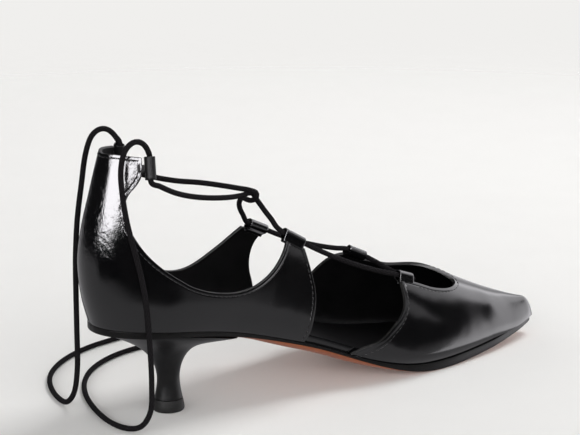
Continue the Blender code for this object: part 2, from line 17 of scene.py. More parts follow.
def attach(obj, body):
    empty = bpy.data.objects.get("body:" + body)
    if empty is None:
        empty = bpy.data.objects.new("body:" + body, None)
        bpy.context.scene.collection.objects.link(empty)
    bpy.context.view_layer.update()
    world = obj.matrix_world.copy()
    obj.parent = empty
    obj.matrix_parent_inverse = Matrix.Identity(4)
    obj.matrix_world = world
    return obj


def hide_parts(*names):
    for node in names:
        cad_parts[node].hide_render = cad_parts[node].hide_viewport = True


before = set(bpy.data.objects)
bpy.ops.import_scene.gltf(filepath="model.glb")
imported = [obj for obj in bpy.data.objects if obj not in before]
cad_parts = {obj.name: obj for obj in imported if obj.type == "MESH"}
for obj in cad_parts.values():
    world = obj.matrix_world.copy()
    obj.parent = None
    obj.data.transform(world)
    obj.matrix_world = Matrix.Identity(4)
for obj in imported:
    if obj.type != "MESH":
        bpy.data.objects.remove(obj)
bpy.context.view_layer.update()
MM = 0.001
MEDIAL = -1
LATERAL = 1
SHOE_SHIFT = np.array((-133.341, -3.656, 0.0))
print("CAD nodes:", len(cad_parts))


def in_frame(points):
    """Maker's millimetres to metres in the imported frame."""
    return (np.asarray(points, float) + SHOE_SHIFT) * MM


# %% [markdown]
# ## Camera
# The camera comes first, because everything is judged through it. The photograph looks down on the
# shoe from behind its near side, from about 0.9 m, through a long lens. A camera is aimed by a matrix
# whose columns are its right, its up, its backward direction and its place. The shoe stands low and
# to the right in the picture, so the lens axis is aimed a little above and left of the shoe's middle.

# %% Camera at the photograph's angle
PHOTO_WIDTH = 580
PHOTO_HEIGHT = 435
SENSOR_WIDTH = 36.0
VIEW_TURN = math.radians(32.6)
VIEW_DROP = math.radians(16.8)
VIEW_DISTANCE = 900.0
PIXELS_PER_MM = 2.029
SHOE_MIDDLE = np.array((130.0, 0.0, 50.0))
MIDDLE_PIXEL = (312.2, 278.0)


def unit(vector):
    vector = np.asarray(vector, float)
    return vector / np.linalg.norm(vector)


def aim_camera():
    focal = PIXELS_PER_MM * VIEW_DISTANCE
    flat = math.cos(VIEW_DROP)
    look = np.array((math.sin(VIEW_TURN) * flat, math.cos(VIEW_TURN) * flat, -math.sin(VIEW_DROP)))
    right = np.array((math.cos(VIEW_TURN), -math.sin(VIEW_TURN), 0.0))
    up = np.cross(right, look)
    place = in_frame(SHOE_MIDDLE - look * VIEW_DISTANCE)
    aside = (MIDDLE_PIXEL[0] - PHOTO_WIDTH / 2) / focal
    above = (MIDDLE_PIXEL[1] - PHOTO_HEIGHT / 2) / focal
    axis = unit(look - aside * right + above * up)
    right = unit(np.cross(axis, (0, 0, 1)))
    up = np.cross(right, axis)
    bpy.ops.object.select_all(action="DESELECT")
    bpy.ops.object.camera_add()
    camera = bpy.context.object
    camera.name = "photo_camera"
    camera.data.sensor_width = SENSOR_WIDTH
    camera.data.lens = focal * SENSOR_WIDTH / PHOTO_WIDTH
    columns = np.stack([right, up, -axis, place], axis=1)
    camera.matrix_world = Matrix([*columns.tolist(), [0, 0, 0, 1]])
    bpy.context.scene.camera = camera
    return camera


camera = aim_camera()
print("camera lens, mm:", round(camera.data.lens, 2))

# %% [markdown]
# ## Smooth curves
# Two small tools draw every line of the shoe. The first runs a smooth curve through a table of
# values. The second spaces points evenly along a smooth line and irons out its small bumps, because
# polished leather shows every wobble of an edge.

# %% Curve tools
TRACE_POINTS = 800


def hermite(knots, values, at):
    """Smooth curve through the values at the knots."""
    knots = np.asarray(knots, float)
    values = np.asarray(values, float)
    steps = np.diff(knots)
    slopes = np.diff(values) / steps
    inner = (slopes[:-1] * steps[1:] + slopes[1:] * steps[:-1]) / (steps[1:] + steps[:-1])
    tangents = np.concatenate([slopes[:1], inner, slopes[-1:]])
    at = np.clip(np.asarray(at, float), knots[0], knots[-1])
    i = np.clip(np.searchsorted(knots, at) - 1, 0, len(knots) - 2)
    t = (at - knots[i]) / steps[i]
    start = (1 + 2 * t) * (1 - t) ** 2 * values[i] + t * (1 - t) ** 2 * steps[i] * tangents[i]
    end = t * t * (3 - 2 * t) * values[i + 1] + t * t * (t - 1) * steps[i] * tangents[i + 1]
    return start + end


def runs_along(points):
    return np.concatenate([[0], np.cumsum(np.linalg.norm(np.diff(points, axis=0), axis=1))])


def resample(points, count):
    """The same line with evenly spaced points."""
    points = np.asarray(points, float)
    runs = runs_along(points)
    wanted = np.linspace(0, runs[-1], count)
    return np.stack([np.interp(wanted, runs, points[:, k]) for k in range(points.shape[1])], axis=-1)


def trace(points, count):
    """Evenly spaced points on a smooth curve through the given ones."""
    points = np.asarray(points, float)
    runs = runs_along(points)
    fine_runs = np.linspace(0, runs[-1], TRACE_POINTS)
    fine = np.stack([hermite(runs, points[:, k], fine_runs) for k in range(points.shape[1])], axis=-1)
    return resample(fine, count)


def iron(points, passes):
    """Smooth a line of points, with its ends held."""
    points = np.array(points, float)
    for _ in range(passes):
        points[1:-1] = (points[:-2] + 2 * points[1:-1] + points[2:]) / 4
    return points


def split_at(points, corner):
    """Cut a line at its point nearest a corner."""
    nearest = int(np.argmin(np.linalg.norm(points - np.asarray(corner), axis=1)))
    return points[: nearest + 1], points[nearest:]


def ease(t):
    t = np.clip(t, 0, 1)
    return t * t * (3 - 2 * t)


print("a straight line traced:", trace(((0, 0), (1, 1), (2, 2)), 3).tolist())

# %% [markdown]
# ## The last
# A shoe takes its shape from a last, so the skin of this one is worked out from a table of the
# last's sections: the feather line where the upper meets the sole, the half widths on both sides and
# the height of the crown. The table is read through a soft filter, so that reflections run smoothly
# over the leather.

# %% Table of the last
SHOE_LENGTH = 265.6
HEEL_ROUND_X = 42.0
HEEL_ROUND_RUN = 46.0
TOE_NOSE = 6.0
TOE_ROUNDINGS = ((40.0, 0.4), (18.0, 0.7))
TUCK_HEIGHT = 16.0
VAMP_TUCK_HEIGHT = 6.0
VAMP_TUCK_START = 140.0
VAMP_TUCK_RUN = 35.0
TOE_SWING = 4.0
TOE_SWING_START = 170.0
HEEL_SWING = 2.8
HEEL_SWING_END = 150.0
HEEL_SWING_RUN = 110.0
SECTION_COLUMNS = ("x", "feather", "medial", "lateral", "tuck", "crest", "sole", "edge")
SECTIONS = (
    (0, 48.0, 26.2, 26.2, 0.06, 106.0, 3.0, 3.0),
    (20, 47.4, 27.0, 27.0, 0.06, 106.0, 2.8, 2.8),
    (40, 45.6, 27.2, 27.2, 0.07, 104.0, 2.3, 2.3),
    (60, 42.2, 26.8, 27.8, 0.09, 95.0, 2.4, 1.9),
    (80, 37.2, 26.2, 29.5, 0.11, 84.0, 3.8, 1.6),
    (100, 30.4, 26.4, 32.0, 0.12, 74.0, 5.4, 1.1),
    (120, 23.4, 27.4, 35.2, 0.12, 69.0, 5.6, 1.0),
    (140, 14.8, 29.3, 38.2, 0.11, 66.0, 5.4, 1.2),
    (160, 8.0, 31.5, 39.6, 0.10, 61.0, 5.2, 2.2),
    (175, 5.2, 32.2, 37.8, 0.09, 54.2, 5.6, 3.6),
    (190, 4.8, 30.6, 33.2, 0.08, 46.2, 5.4, 4.2),
    (205, 5.2, 27.0, 27.3, 0.07, 38.8, 4.6, 4.0),
    (220, 6.0, 22.0, 21.2, 0.06, 30.2, 3.9, 3.5),
    (235.6, 7.2, 16.6, 15.6, 0.05, 22.2, 3.5, 3.1),
    (252, 8.8, 11.4, 10.7, 0.05, 14.2, 3.3, 2.9),
    (265.6, 10.2, 8.0, 7.6, 0.05, 9.0, 3.1, 2.7),
)
BACK_CURVE = ((0, 8.6), (10, 6.0), (20, 4.5), (32, 4.2), (45, 6.4), (60, 10.4), (80, 15.6), (95, 19.5))
TABLE_STEP = 0.5
TABLE_MARGIN = 40.0
SOFTEN_SECTIONS = 7.0
SOFTEN_BACK = 4.0


def soft_table(knots, values, soften):
    """Fine table of a smooth curve, blurred along its length by so many millimetres."""
    knots = np.asarray(knots, float)
    at = np.arange(knots[0] - TABLE_MARGIN, knots[-1] + TABLE_MARGIN, TABLE_STEP)
    curve = hermite(knots, values, at)
    first = (values[1] - values[0]) / (knots[1] - knots[0])
    last = (values[-1] - values[-2]) / (knots[-1] - knots[-2])
    curve = curve + np.minimum(at - knots[0], 0) * first + np.maximum(at - knots[-1], 0) * last
    reach = np.arange(-3 * soften, 3 * soften + TABLE_STEP, TABLE_STEP)
    weights = np.exp(-0.5 * (reach / soften) ** 2)
    ends = len(reach) // 2
    padded = np.concatenate([
        curve[0] - first * TABLE_STEP * np.arange(ends, 0, -1), curve,
        curve[-1] + last * TABLE_STEP * np.arange(1, ends + 1),
    ])
    blurred = np.convolve(padded, weights / weights.sum(), mode="same")[ends : ends + len(curve)]
    return at, blurred


SECTION_TABLE = np.asarray(SECTIONS, float)
SOFT_SECTIONS = {
    name: soft_table(SECTION_TABLE[:, 0], SECTION_TABLE[:, k], SOFTEN_SECTIONS)
    for k, name in enumerate(SECTION_COLUMNS)
    if k > 0
}
SOFT_BACK = soft_table([row[0] for row in BACK_CURVE], [row[1] for row in BACK_CURVE], SOFTEN_BACK)


def section(name, x):
    return np.interp(x, *SOFT_SECTIONS[name])


def back_x(h):
    return np.interp(h, *SOFT_BACK)


def axis_y(x):
    """Sideways place of the last's centre."""
    toe = ease((x - TOE_SWING_START) / (SHOE_LENGTH - TOE_SWING_START))
    heel = ease((HEEL_SWING_END - x) / HEEL_SWING_RUN)
    return -TOE_SWING * toe - HEEL_SWING * heel


def crest(x):
    nose = np.clip((x - (SHOE_LENGTH - TOE_NOSE)) / TOE_NOSE, 0, 1)
    return section("crest", x) * np.sqrt(1 - nose * nose)


def half_width(side, x):
    wide = section("medial" if side == MEDIAL else "lateral", x)
    for reach, share in TOE_ROUNDINGS:
        corner = np.clip((x - (SHOE_LENGTH - reach)) / reach, 0, 1)
        wide = wide * (1 - share * (1 - np.sqrt(1 - corner * corner)))
    return wide


def tucked(x, h):
    """Share of the width left where the leather turns in under the foot, lower on the vamp."""
    vamp = ease((x - VAMP_TUCK_START) / VAMP_TUCK_RUN)
    height = TUCK_HEIGHT + (VAMP_TUCK_HEIGHT - TUCK_HEIGHT) * vamp
    return 1 - section("tuck", x) * np.maximum(1 - h / height, 0) ** 2


def on_last(side, x, w, h):
    """Point at a half width and a height over the feather line."""
    return np.stack([x, side * w + axis_y(x), section("feather", x) + h], axis=-1)


def quarter_point(side, pattern):
    """Outer face of the upper at a run from the centre back and a height over the feather line."""
    run, h = pattern[..., 0], pattern[..., 1]
    turn = np.clip(run / HEEL_ROUND_RUN, 0, 1) * math.pi / 2
    in_round = run < HEEL_ROUND_RUN
    round_x = HEEL_ROUND_X - (HEEL_ROUND_X - back_x(h)) * np.cos(turn)
    x = np.where(in_round, round_x, HEEL_ROUND_X + run - HEEL_ROUND_RUN)
    at = np.where(in_round, HEEL_ROUND_X, x)
    arch = np.sqrt(1 - np.clip(h / crest(at), 0, 1) ** 2)
    w = half_width(side, at) * arch * tucked(at, h) * np.sin(turn)
    return on_last(side, x, w, h)


SHARE_MM = 50.0
TOE_LEAN = 0.8
LEAN_START = 228.0
LEAN_RUN = 34.0


def vamp_point(side, pattern):
    """Outer face of the upper at a section and a share of the way up it, times SHARE_MM."""
    x = pattern[..., 0]
    angle = pattern[..., 1] / SHARE_MM * math.pi / 2
    lean = 1 + TOE_LEAN * ease((x - LEAN_START) / LEAN_RUN)
    h = crest(x) * np.maximum(np.sin(angle), 0) ** lean
    w = half_width(side, x) * np.cos(angle) * tucked(x, h)
    return on_last(side, x, w, h)


print("widest section, mm:", round(float(half_width(MEDIAL, 170) + half_width(LATERAL, 170)), 1))

# %% [markdown]
# ## Ties
# The lace ends in two long ties. On a foot they are wound round the ankle; the empty shoe lets them
# fall from its heel loops and lie on the floor beside it. A cord is drawn as a tube swept along its
# route. Its UV map counts millimetres along the cord and turns round it, so a braid can follow it.

# %% Cord tubes
CORD_RADIUS = 1.3
CORD_SIDES = 14
CORD_STEP = 1.1
FEWEST_RINGS = 8
END_TAPER = 0.72


def new_mesh(name, points, faces):
    """Object at the origin from points in maker's millimetres."""
    mesh = bpy.data.meshes.new(name)
    mesh.from_pydata(in_frame(points).tolist(), [], faces)
    mesh.update()
    obj = bpy.data.objects.new(name, mesh)
    bpy.context.scene.collection.objects.link(obj)
    return obj


def sweep_frames(path):
    """Two directions across a route at each point, turned as little as possible along it."""
    along = np.gradient(path, axis=0)
    along = along / np.linalg.norm(along, axis=1)[:, None]
    start = (0, 0, 1) if abs(along[0][2]) < 0.9 else (1, 0, 0)
    across = [unit(np.cross(along[0], start))]
    for direction in along[1:]:
        across.append(unit(across[-1] - direction * np.dot(across[-1], direction)))
    across = np.asarray(across)
    return across, np.cross(along, across)


def cord_tube(name, path, radius=CORD_RADIUS):
    """Round cord along a route, with closed, rounded ends."""
    length = runs_along(path)[-1]
    path = resample(path, max(FEWEST_RINGS, int(length / CORD_STEP)))
    across, over = sweep_frames(path)
    turns = np.linspace(0, 2 * math.pi, CORD_SIDES, endpoint=False)
    ring = np.cos(turns)[:, None] * across[:, None] + np.sin(turns)[:, None] * over[:, None]
    swell = np.ones(len(path))
    swell[0] = swell[-1] = END_TAPER
    points = path[:, None] + ring * (radius * swell)[:, None, None]
    count = len(path)
    faces, marks = [], []
    runs = runs_along(path)
    for i in range(count - 1):
        for k in range(CORD_SIDES):
            after = (k + 1) % CORD_SIDES
            near, far = i * CORD_SIDES, (i + 1) * CORD_SIDES
            faces.append((near + k, near + after, far + after, far + k))
            left, right = k / CORD_SIDES, (k + 1) / CORD_SIDES
            marks += [(runs[i], left), (runs[i], right), (runs[i + 1], right), (runs[i + 1], left)]
    faces.append(tuple(range(CORD_SIDES - 1, -1, -1)))
    faces.append(tuple((count - 1) * CORD_SIDES + k for k in range(CORD_SIDES)))
    marks += [(0, k / CORD_SIDES) for k in range(2 * CORD_SIDES)]
    obj = new_mesh(name, points.reshape(-1, 3), faces)
    layer = obj.data.uv_layers.new(name="braid")
    layer.data.foreach_set("uv", np.asarray(marks, float).ravel())
    obj.data.polygons.foreach_set("use_smooth", [True] * len(faces))
    return obj


print("cord thickness, mm:", 2 * CORD_RADIUS)

# %% Routes of the ties
TIE_HEIGHT = CORD_RADIUS + 0.1
TIE_POINTS = 500
TIE_IRONING = 12
TIE_ROUTES = {
    MEDIAL: (
        (30.2, -18.9, 132.0), (25.0, -20.0, 135.4), (19.0, -21.2, 133.0), (16.0, -22.0, 125.5),
        (16.0, -22.6, 112.0), (17.6, -24.0, 98.0), (20.4, -25.9, 84.0), (22.8, -27.7, 70.0),
        (24.2, -28.5, 56.0), (25.0, -28.7, 40.0), (25.4, -28.7, 22.0), (24.4, -28.4, 9.0),
        (20.8, -26.6, 2.8), (16.4, -21.0, 1.5), (13.6, -12.0, 1.5), (13.6, 0.0, 1.5),
        (15.6, 14.0, 1.5), (19.8, 30.0, 1.5), (27.0, 46.0, 1.5), (38.5, 61.0, 1.5),
        (56.0, 73.0, 1.5), (80.0, 79.0, 1.5), (108.0, 78.0, 1.5), (136.0, 71.0, 1.5),
        (162.0, 63.0, 1.5), (188.0, 59.0, 1.5), (208.0, 63.0, 1.5), (213.0, 72.0, 1.5),
        (203.0, 79.5, 1.5), (180.0, 81.0, 1.5), (152.0, 85.0, 1.5), (124.0, 89.0, 1.5),
        (104.0, 89.0, 1.5),
    ),
    LATERAL: (
        (30.2, 13.6, 132.0), (25.6, 14.2, 135.2), (20.0, 14.6, 132.8), (17.0, 14.7, 126.0),
        (13.6, 14.2, 110.0), (10.6, 13.4, 94.0), (9.0, 12.9, 78.0), (8.6, 13.0, 60.0),
        (8.5, 13.2, 40.0), (8.2, 13.6, 20.0), (7.2, 15.8, 8.5), (6.2, 21.5, 2.6),
        (6.4, 31.0, 1.5), (9.5, 47.0, 1.5), (17.0, 64.0, 1.5), (30.0, 79.0, 1.5),
        (49.0, 91.0, 1.5), (74.0, 98.0, 1.5), (102.0, 101.0, 1.5), (132.0, 100.0, 1.5),
        (160.0, 97.0, 1.5), (188.0, 94.0, 1.5), (210.0, 97.0, 1.5), (218.0, 106.0, 1.5),
        (208.0, 114.0, 1.5), (184.0, 114.0, 1.5), (156.0, 111.0, 1.5), (130.0, 112.0, 1.5),
        (106.0, 116.0, 1.5), (86.0, 117.0, 1.5),
    ),
}
WALL = 1.7
LOOP_ENDS = {
    ("heel", MEDIAL): ((34.8, 80.6), (34.8, 70.4)),
    ("heel", LATERAL): ((34.8, 80.6), (34.8, 70.4)),
    ("wing", MEDIAL): ((106.6, 52.6), (117.2, 49.9)),
    ("wing", LATERAL): ((111.0, 49.0), (121.4, 47.7)),
    ("vamp", MEDIAL): ((172.6, 44.9), (181.4, 42.8)),
    ("vamp", LATERAL): ((169.6, 48.5), (178.8, 45.5)),
}
LOOP_DEPTH = {"heel": 0.85, "wing": 1.5, "vamp": 1.5}
LOOP_CLEAR = 0.6
SIDE_NAMES = {MEDIAL: "medial", LATERAL: "lateral"}
STEP_ALONG = np.array((0.5, 0.0))
STEP_UP = np.array((0.0, 0.5))


def surface_normal(side, pattern):
    """Outward direction of the upper at a place on the quarter pattern."""
    here = quarter_point(side, pattern)
    along = quarter_point(side, pattern + STEP_ALONG) - here
    up = quarter_point(side, pattern + STEP_UP) - here
    return unit(np.cross(along, up) * (1 if side == MEDIAL else -1))


def loop_axis(side, place):
    """The two ends of a lace loop's axis, a little under the upper's outer face."""
    ends = [np.asarray(end, float) for end in LOOP_ENDS[place, side]]
    return [quarter_point(side, end) - surface_normal(side, end) * LOOP_DEPTH[place] for end in ends]


def mouth(side, place, end, clear=LOOP_CLEAR):
    """Point on a loop's axis, a little outside one of its mouths."""
    ends = loop_axis(side, place)
    return ends[end] + unit(ends[end] - ends[1 - end]) * clear


def tie_path(side):
    path = iron(trace([mouth(side, "heel", 0), *TIE_ROUTES[side]], TIE_POINTS), TIE_IRONING)
    path[:, 2] = np.maximum(path[:, 2], TIE_HEIGHT)
    return path


TIE_PATHS = {side: tie_path(side) for side in SIDE_NAMES}
ties = {side: cord_tube("lace_tie_" + name, TIE_PATHS[side]) for side, name in SIDE_NAMES.items()}
for side, name in SIDE_NAMES.items():
    print("tie", name, "mm:", round(runs_along(TIE_PATHS[side])[-1], 1))

# %% [markdown]
# ## Upper
# The upper is two pieces of polished leather. The quarter wraps the heel and reaches forward with two
# wings, and the vamp covers the toes; the sides between them are cut away. Flat panels can't be bent
# over a last by hand operators alone, so each panel starts as grid primitives whose points are laid on
# the last, four times finer than in the solids. Joined, merged and smoothed, they get their wall from
# a Solidify modifier and rolled edges from a Bevel.

# %% Modelling helpers
MERGE = 0.02


def pick(*objects):
    """Select these objects alone, the first one active."""
    bpy.ops.object.select_all(action="DESELECT")
    for obj in objects:
        obj.select_set(True)
    bpy.context.view_layer.objects.active = objects[0]


def finish_with(obj, kind, **settings):
    """Add a modifier, set it and apply it."""
    pick(obj)
    modifier = obj.modifiers.new(kind.title(), kind)
    for key, value in settings.items():
        setattr(modifier, key, value)
    bpy.ops.object.modifier_apply(modifier=modifier.name)


def raw_points(obj):
    """An object's vertices as its mesh holds them."""
    flat = np.empty(len(obj.data.vertices) * 3)
    obj.data.vertices.foreach_get("co", flat)
    return flat.reshape(-1, 3)


def read_points(obj):
    """An object's vertices in maker's millimetres."""
    return raw_points(obj) / MM - SHOE_SHIFT


def write_points(obj, points):
    obj.data.vertices.foreach_set("co", in_frame(points).ravel())
    obj.data.update()


def coons(bottom, top, left, right):
    """Grid of pattern points between four edges."""
    u = np.linspace(0, 1, len(bottom))[:, None, None]
    v = np.linspace(0, 1, len(left))[None, :, None]
    ruled = (1 - v) * bottom[:, None] + v * top[:, None] + (1 - u) * left[None] + u * right[None]
    corners = (1 - u) * ((1 - v) * bottom[0] + v * top[0]) + u * ((1 - v) * bottom[-1] + v * top[-1])
    return ruled - corners


def lay_grid(points, flip):
    """Grid primitive whose points are laid on the last."""
    columns, rows = points.shape[:2]
    bpy.ops.object.select_all(action="DESELECT")
    bpy.ops.mesh.primitive_grid_add(x_subdivisions=columns - 1, y_subdivisions=rows - 1, size=1)
    grid = bpy.context.object
    flat = raw_points(grid)
    i = np.rint((flat[:, 0] + 0.5) * (columns - 1)).astype(int)
    j = np.rint((flat[:, 1] + 0.5) * (rows - 1)).astype(int)
    write_points(grid, points[i, j])
    if flip:
        bpy.ops.object.mode_set(mode="EDIT")
        bpy.ops.mesh.select_all(action="SELECT")
        bpy.ops.mesh.flip_normals()
        bpy.ops.object.mode_set(mode="OBJECT")
    return grid


def join_as(name, parts):
    """One object from several, with the points that meet merged."""
    pick(*parts)
    bpy.ops.object.join()
    joined = bpy.context.object
    joined.name = joined.data.name = name
    bpy.ops.object.mode_set(mode="EDIT")
    bpy.ops.mesh.select_mode(type="VERT")
    bpy.ops.mesh.select_all(action="SELECT")
    bpy.ops.mesh.remove_doubles(threshold=MERGE * MM)
    bpy.ops.object.mode_set(mode="OBJECT")
    return joined


def join_panel(name, grids, smoothing):
    """One open skin from its grids, ironed everywhere but along its edges."""
    panel = join_as(name, grids)
    bpy.ops.object.mode_set(mode="EDIT")
    bpy.ops.mesh.select_all(action="DESELECT")
    bpy.ops.mesh.select_non_manifold(
        extend=False, use_wire=False, use_boundary=True, use_multi_face=False,
        use_non_contiguous=False, use_verts=False,
    )
    bpy.ops.mesh.select_all(action="INVERT")
    bpy.ops.mesh.vertices_smooth(factor=0.5, repeat=smoothing)
    bpy.ops.object.mode_set(mode="OBJECT")
    return panel


def face_outwards(obj):
    """Turn all of an object's faces outwards."""
    pick(obj)
    bpy.ops.object.mode_set(mode="EDIT")
    bpy.ops.mesh.select_all(action="SELECT")
    bpy.ops.mesh.normals_make_consistent(inside=False)
    bpy.ops.object.mode_set(mode="OBJECT")


def roll_edges(obj, roll, segments, angle, **settings):
    """Bevel every edge sharper than an angle in degrees, and shade the piece smooth."""
    finish_with(
        obj, "BEVEL", width=roll * MM, segments=segments, limit_method="ANGLE",
        angle_limit=math.radians(angle), **settings,
    )
    pick(obj)
    bpy.ops.object.shade_smooth()


print("modelling helpers are ready")

# %% Quarter pattern
FINE = 4
PANEL_IRONING = 3
LINE_IRONING = 60
TOPLINE_POINTS = 500
FRONT_POINTS = 300
COUNTER_POINTS = 60
COUNTER_TOP = ((0, 80.0), (15, 80.6), (30.4, 80.0))
NOTCH_FOOT = (48.5, 23.1)
NOTCH_EDGE = (
    (30.4, 80.0), (30.2, 71.4), (27.8, 67.6), (23.8, 63.2), (22.4, 58.0), (23.6, 52.1), (27.6, 45.2),
    (34, 35.8), (40.1, 29.3), NOTCH_FOOT,
)
WING_FOOT = {MEDIAL: (83.4, 22.9), LATERAL: (84.5, 23.6)}
WING_STEP = {MEDIAL: (119.6, 22.0), LATERAL: (116.0, 22.0)}
TOPLINE = {
    MEDIAL: (
        *NOTCH_EDGE, (56, 20.4), (66, 19.2), (75, 20.0), WING_FOOT[MEDIAL], (94.7, 31.2), (101.5, 39.4),
        (105.2, 45.4), (107.0, 49.4),
    ),
    LATERAL: (
        *NOTCH_EDGE, (57, 18.8), (66.8, 16.8), (76, 18.6), WING_FOOT[LATERAL], (91.0, 29.0), (97.0, 34.5),
        (102.4, 40.2), (107.6, 45.9),
    ),
}
WING_FRONT = {
    MEDIAL: (
        (116.6, 46.8), (118.3, 38.5), (119.2, 33.0), (119.8, 28.0), WING_STEP[MEDIAL], (118.2, 14.9),
        (116.4, 6.4), (114.0, 0.0),
    ),
    LATERAL: (
        (119.4, 44.6), (116.6, 39.4), (115.1, 33.5), (114.9, 28.0), WING_STEP[LATERAL], (117.6, 18.0),
        (118.6, 12.6), (117.2, 6.4), (114.0, 0.0),
    ),
}
STRIP_BACK_HEIGHT = 20.0


def quarter_blocks(side):
    """Pattern grids of one side: the strip over the sole, the counter and the wing."""
    topline = iron(trace(TOPLINE[side], TOPLINE_POINTS), LINE_IRONING)
    notch, rest = split_at(topline, NOTCH_FOOT)
    scoop, wing_rear = split_at(rest, WING_FOOT[side])
    front = iron(trace(WING_FRONT[side], FRONT_POINTS), LINE_IRONING)
    wing_front, strip_front = split_at(front, WING_STEP[side])
    heel_columns, scoop_columns, wing_columns = 9 * FINE, 6 * FINE, 7 * FINE
    heel_rows, wing_rows, strip_rows = 13 * FINE, 7 * FINE, 4 * FINE
    strip_line = np.concatenate([
        np.linspace((0, STRIP_BACK_HEIGHT), notch[-1], heel_columns + 1),
        resample(scoop, scoop_columns + 1)[1:],
        np.linspace(scoop[-1], wing_front[-1], wing_columns + 1)[1:],
    ])
    feather_runs = strip_line[:, 0] * front[-1][0] / strip_line[-1][0]
    strip = coons(
        np.stack([feather_runs, 0 * feather_runs], axis=-1), strip_line,
        np.linspace((0, 0), (0, STRIP_BACK_HEIGHT), strip_rows + 1),
        resample(strip_front[::-1], strip_rows + 1),
    )
    counter = coons(
        strip_line[: heel_columns + 1], trace(COUNTER_TOP, heel_columns + 1),
        np.linspace((0, STRIP_BACK_HEIGHT), COUNTER_TOP[0], heel_rows + 1),
        resample(notch[::-1], heel_rows + 1),
    )
    wing = coons(
        strip_line[heel_columns + scoop_columns :], np.linspace(topline[-1], front[0], wing_columns + 1),
        resample(wing_rear, wing_rows + 1), resample(wing_front[::-1], wing_rows + 1),
    )
    edge = np.concatenate([trace(COUNTER_TOP, COUNTER_POINTS)[:-1], topline, front])
    return (strip, counter, wing), edge, topline, front


QUARTER_EDGES = {}
quarter_grids = []
for side in SIDE_NAMES:
    blocks, *QUARTER_EDGES[side] = quarter_blocks(side)
    quarter_grids += [lay_grid(quarter_point(side, block), side == LATERAL) for block in blocks]
quarter = join_panel("upper_quarter", quarter_grids, PANEL_IRONING)
print("quarter skin faces:", len(quarter.data.polygons))

# %% Vamp pattern
VAMP_REAR = {
    MEDIAL: (
        (136.5, 0.0), (141.7, 0.045), (150.9, 0.11), (158.6, 0.20), (164.4, 0.28), (167.6, 0.36),
        (168.4, 0.43), (168.4, 0.48), (168.8, 0.54),
    ),
    LATERAL: (
        (134.5, 0.0), (138.5, 0.06), (143.0, 0.14), (147.5, 0.24), (152.0, 0.33), (156.0, 0.41),
        (159.6, 0.48), (163.0, 0.53), (165.8, 0.562),
    ),
}
THROAT_SIDE = {
    MEDIAL: (
        (168.8, 0.54), (174.0, 0.55), (178.5, 0.556), (183.5, 0.558), (188.5, 0.558), (194.0, 0.568),
        (200.0, 0.593), (203.8, 0.625), (207.5, 0.68), (209.4, 0.735), (209.7, 0.785), (209.0, 0.845),
        (207.8, 0.90), (206.2, 0.95), (204.3, 1.0),
    ),
    LATERAL: (
        (165.8, 0.562), (172.6, 0.576), (180.0, 0.598), (188.0, 0.635), (193.0, 0.715), (197.0, 0.82),
        (199.6, 0.90), (202.0, 0.955), (204.3, 1.0),
    ),
}
THROAT_CORNER = {MEDIAL: (203.8, 0.625), LATERAL: (197.0, 0.82)}
THROAT_IRONING = 120
THROAT_POINTS = 400
REAR_POINTS = 300
NOSE_TURN = 87.0
NOSE_ROWS = 13
VAMP_JOIN_X = 199.0
PATTERN_SCALE = np.array((1.0, SHARE_MM))


def throat_line(side):
    """Edge of the throat from the tab to the middle of the vamp, and its corner."""
    edge = trace(np.asarray(THROAT_SIDE[side]) * PATTERN_SCALE, THROAT_POINTS)
    return iron(edge, THROAT_IRONING), np.asarray(THROAT_CORNER[side]) * PATTERN_SCALE


def vamp_blocks(side):
    """Pattern grids of one side: beside the throat, and from the throat to the nose."""
    side_columns, side_rows, throat_columns, length_rows = 9 * FINE, 8 * FINE, 4 * FINE, 9 * FINE
    throat, corner = throat_line(side)
    beside, front_edge = split_at(throat, corner)
    rear = iron(trace(np.asarray(VAMP_REAR[side]) * PATTERN_SCALE, REAR_POINTS), LINE_IRONING)
    join = np.linspace((VAMP_JOIN_X, 0), beside[-1], side_rows + 1)
    side_block = coons(
        np.linspace(rear[0], join[0], side_columns + 1), resample(beside, side_columns + 1),
        resample(rear, side_rows + 1), join,
    )
    start = np.concatenate([join, resample(front_edge, throat_columns + 1)[1:]])
    nose_start = SHOE_LENGTH - TOE_NOSE
    shares = np.linspace(0, 1, length_rows + 1)
    rows = [start + (nose_start - start[:, :1]) * np.array((t, 0.0)) for t in shares]
    for turn in np.radians(np.linspace(0, NOSE_TURN, NOSE_ROWS + 1)[1:]):
        nose_x = nose_start + TOE_NOSE * math.sin(turn)
        rows.append(np.stack([np.full(len(start), nose_x), start[:, 1]], axis=-1))
    return (side_block, np.asarray(rows)), rear, throat


VAMP_EDGES = {}
vamp_grids = []
for side in SIDE_NAMES:
    blocks, rear, throat = vamp_blocks(side)
    VAMP_EDGES[side] = (rear, throat)
    vamp_grids += [lay_grid(vamp_point(side, block), side == LATERAL) for block in blocks]
vamp = join_panel("upper_vamp", vamp_grids, PANEL_IRONING)
print("vamp skin faces:", len(vamp.data.polygons))

# %% [markdown]
# Leather pulled over a last is never as true as a moulded shell. A trace of slow noise, a few
# hundredths of a millimetre deep, breaks the reflections a little. Then the walls are given their
# thickness inwards, with the lining and the cut edge as materials of their own.

# %% Walls and edges of the upper
WOBBLE = 0.10
WOBBLE_SIZE = 16.0
FINE_WOBBLE = 0.4
WOBBLE_FADE = 8.0
EDGE_ROLL = 0.5
CORNER_ANGLE = 50
QUARTER_EDGE_POINTS = 900
VAMP_EDGE_POINTS = 700


def line_tree(points):
    """Nearest-point lookup on a line of points."""
    tree = KDTree(len(points))
    for index, point in enumerate(points):
        tree.insert(point, index)
    tree.balance()
    return tree


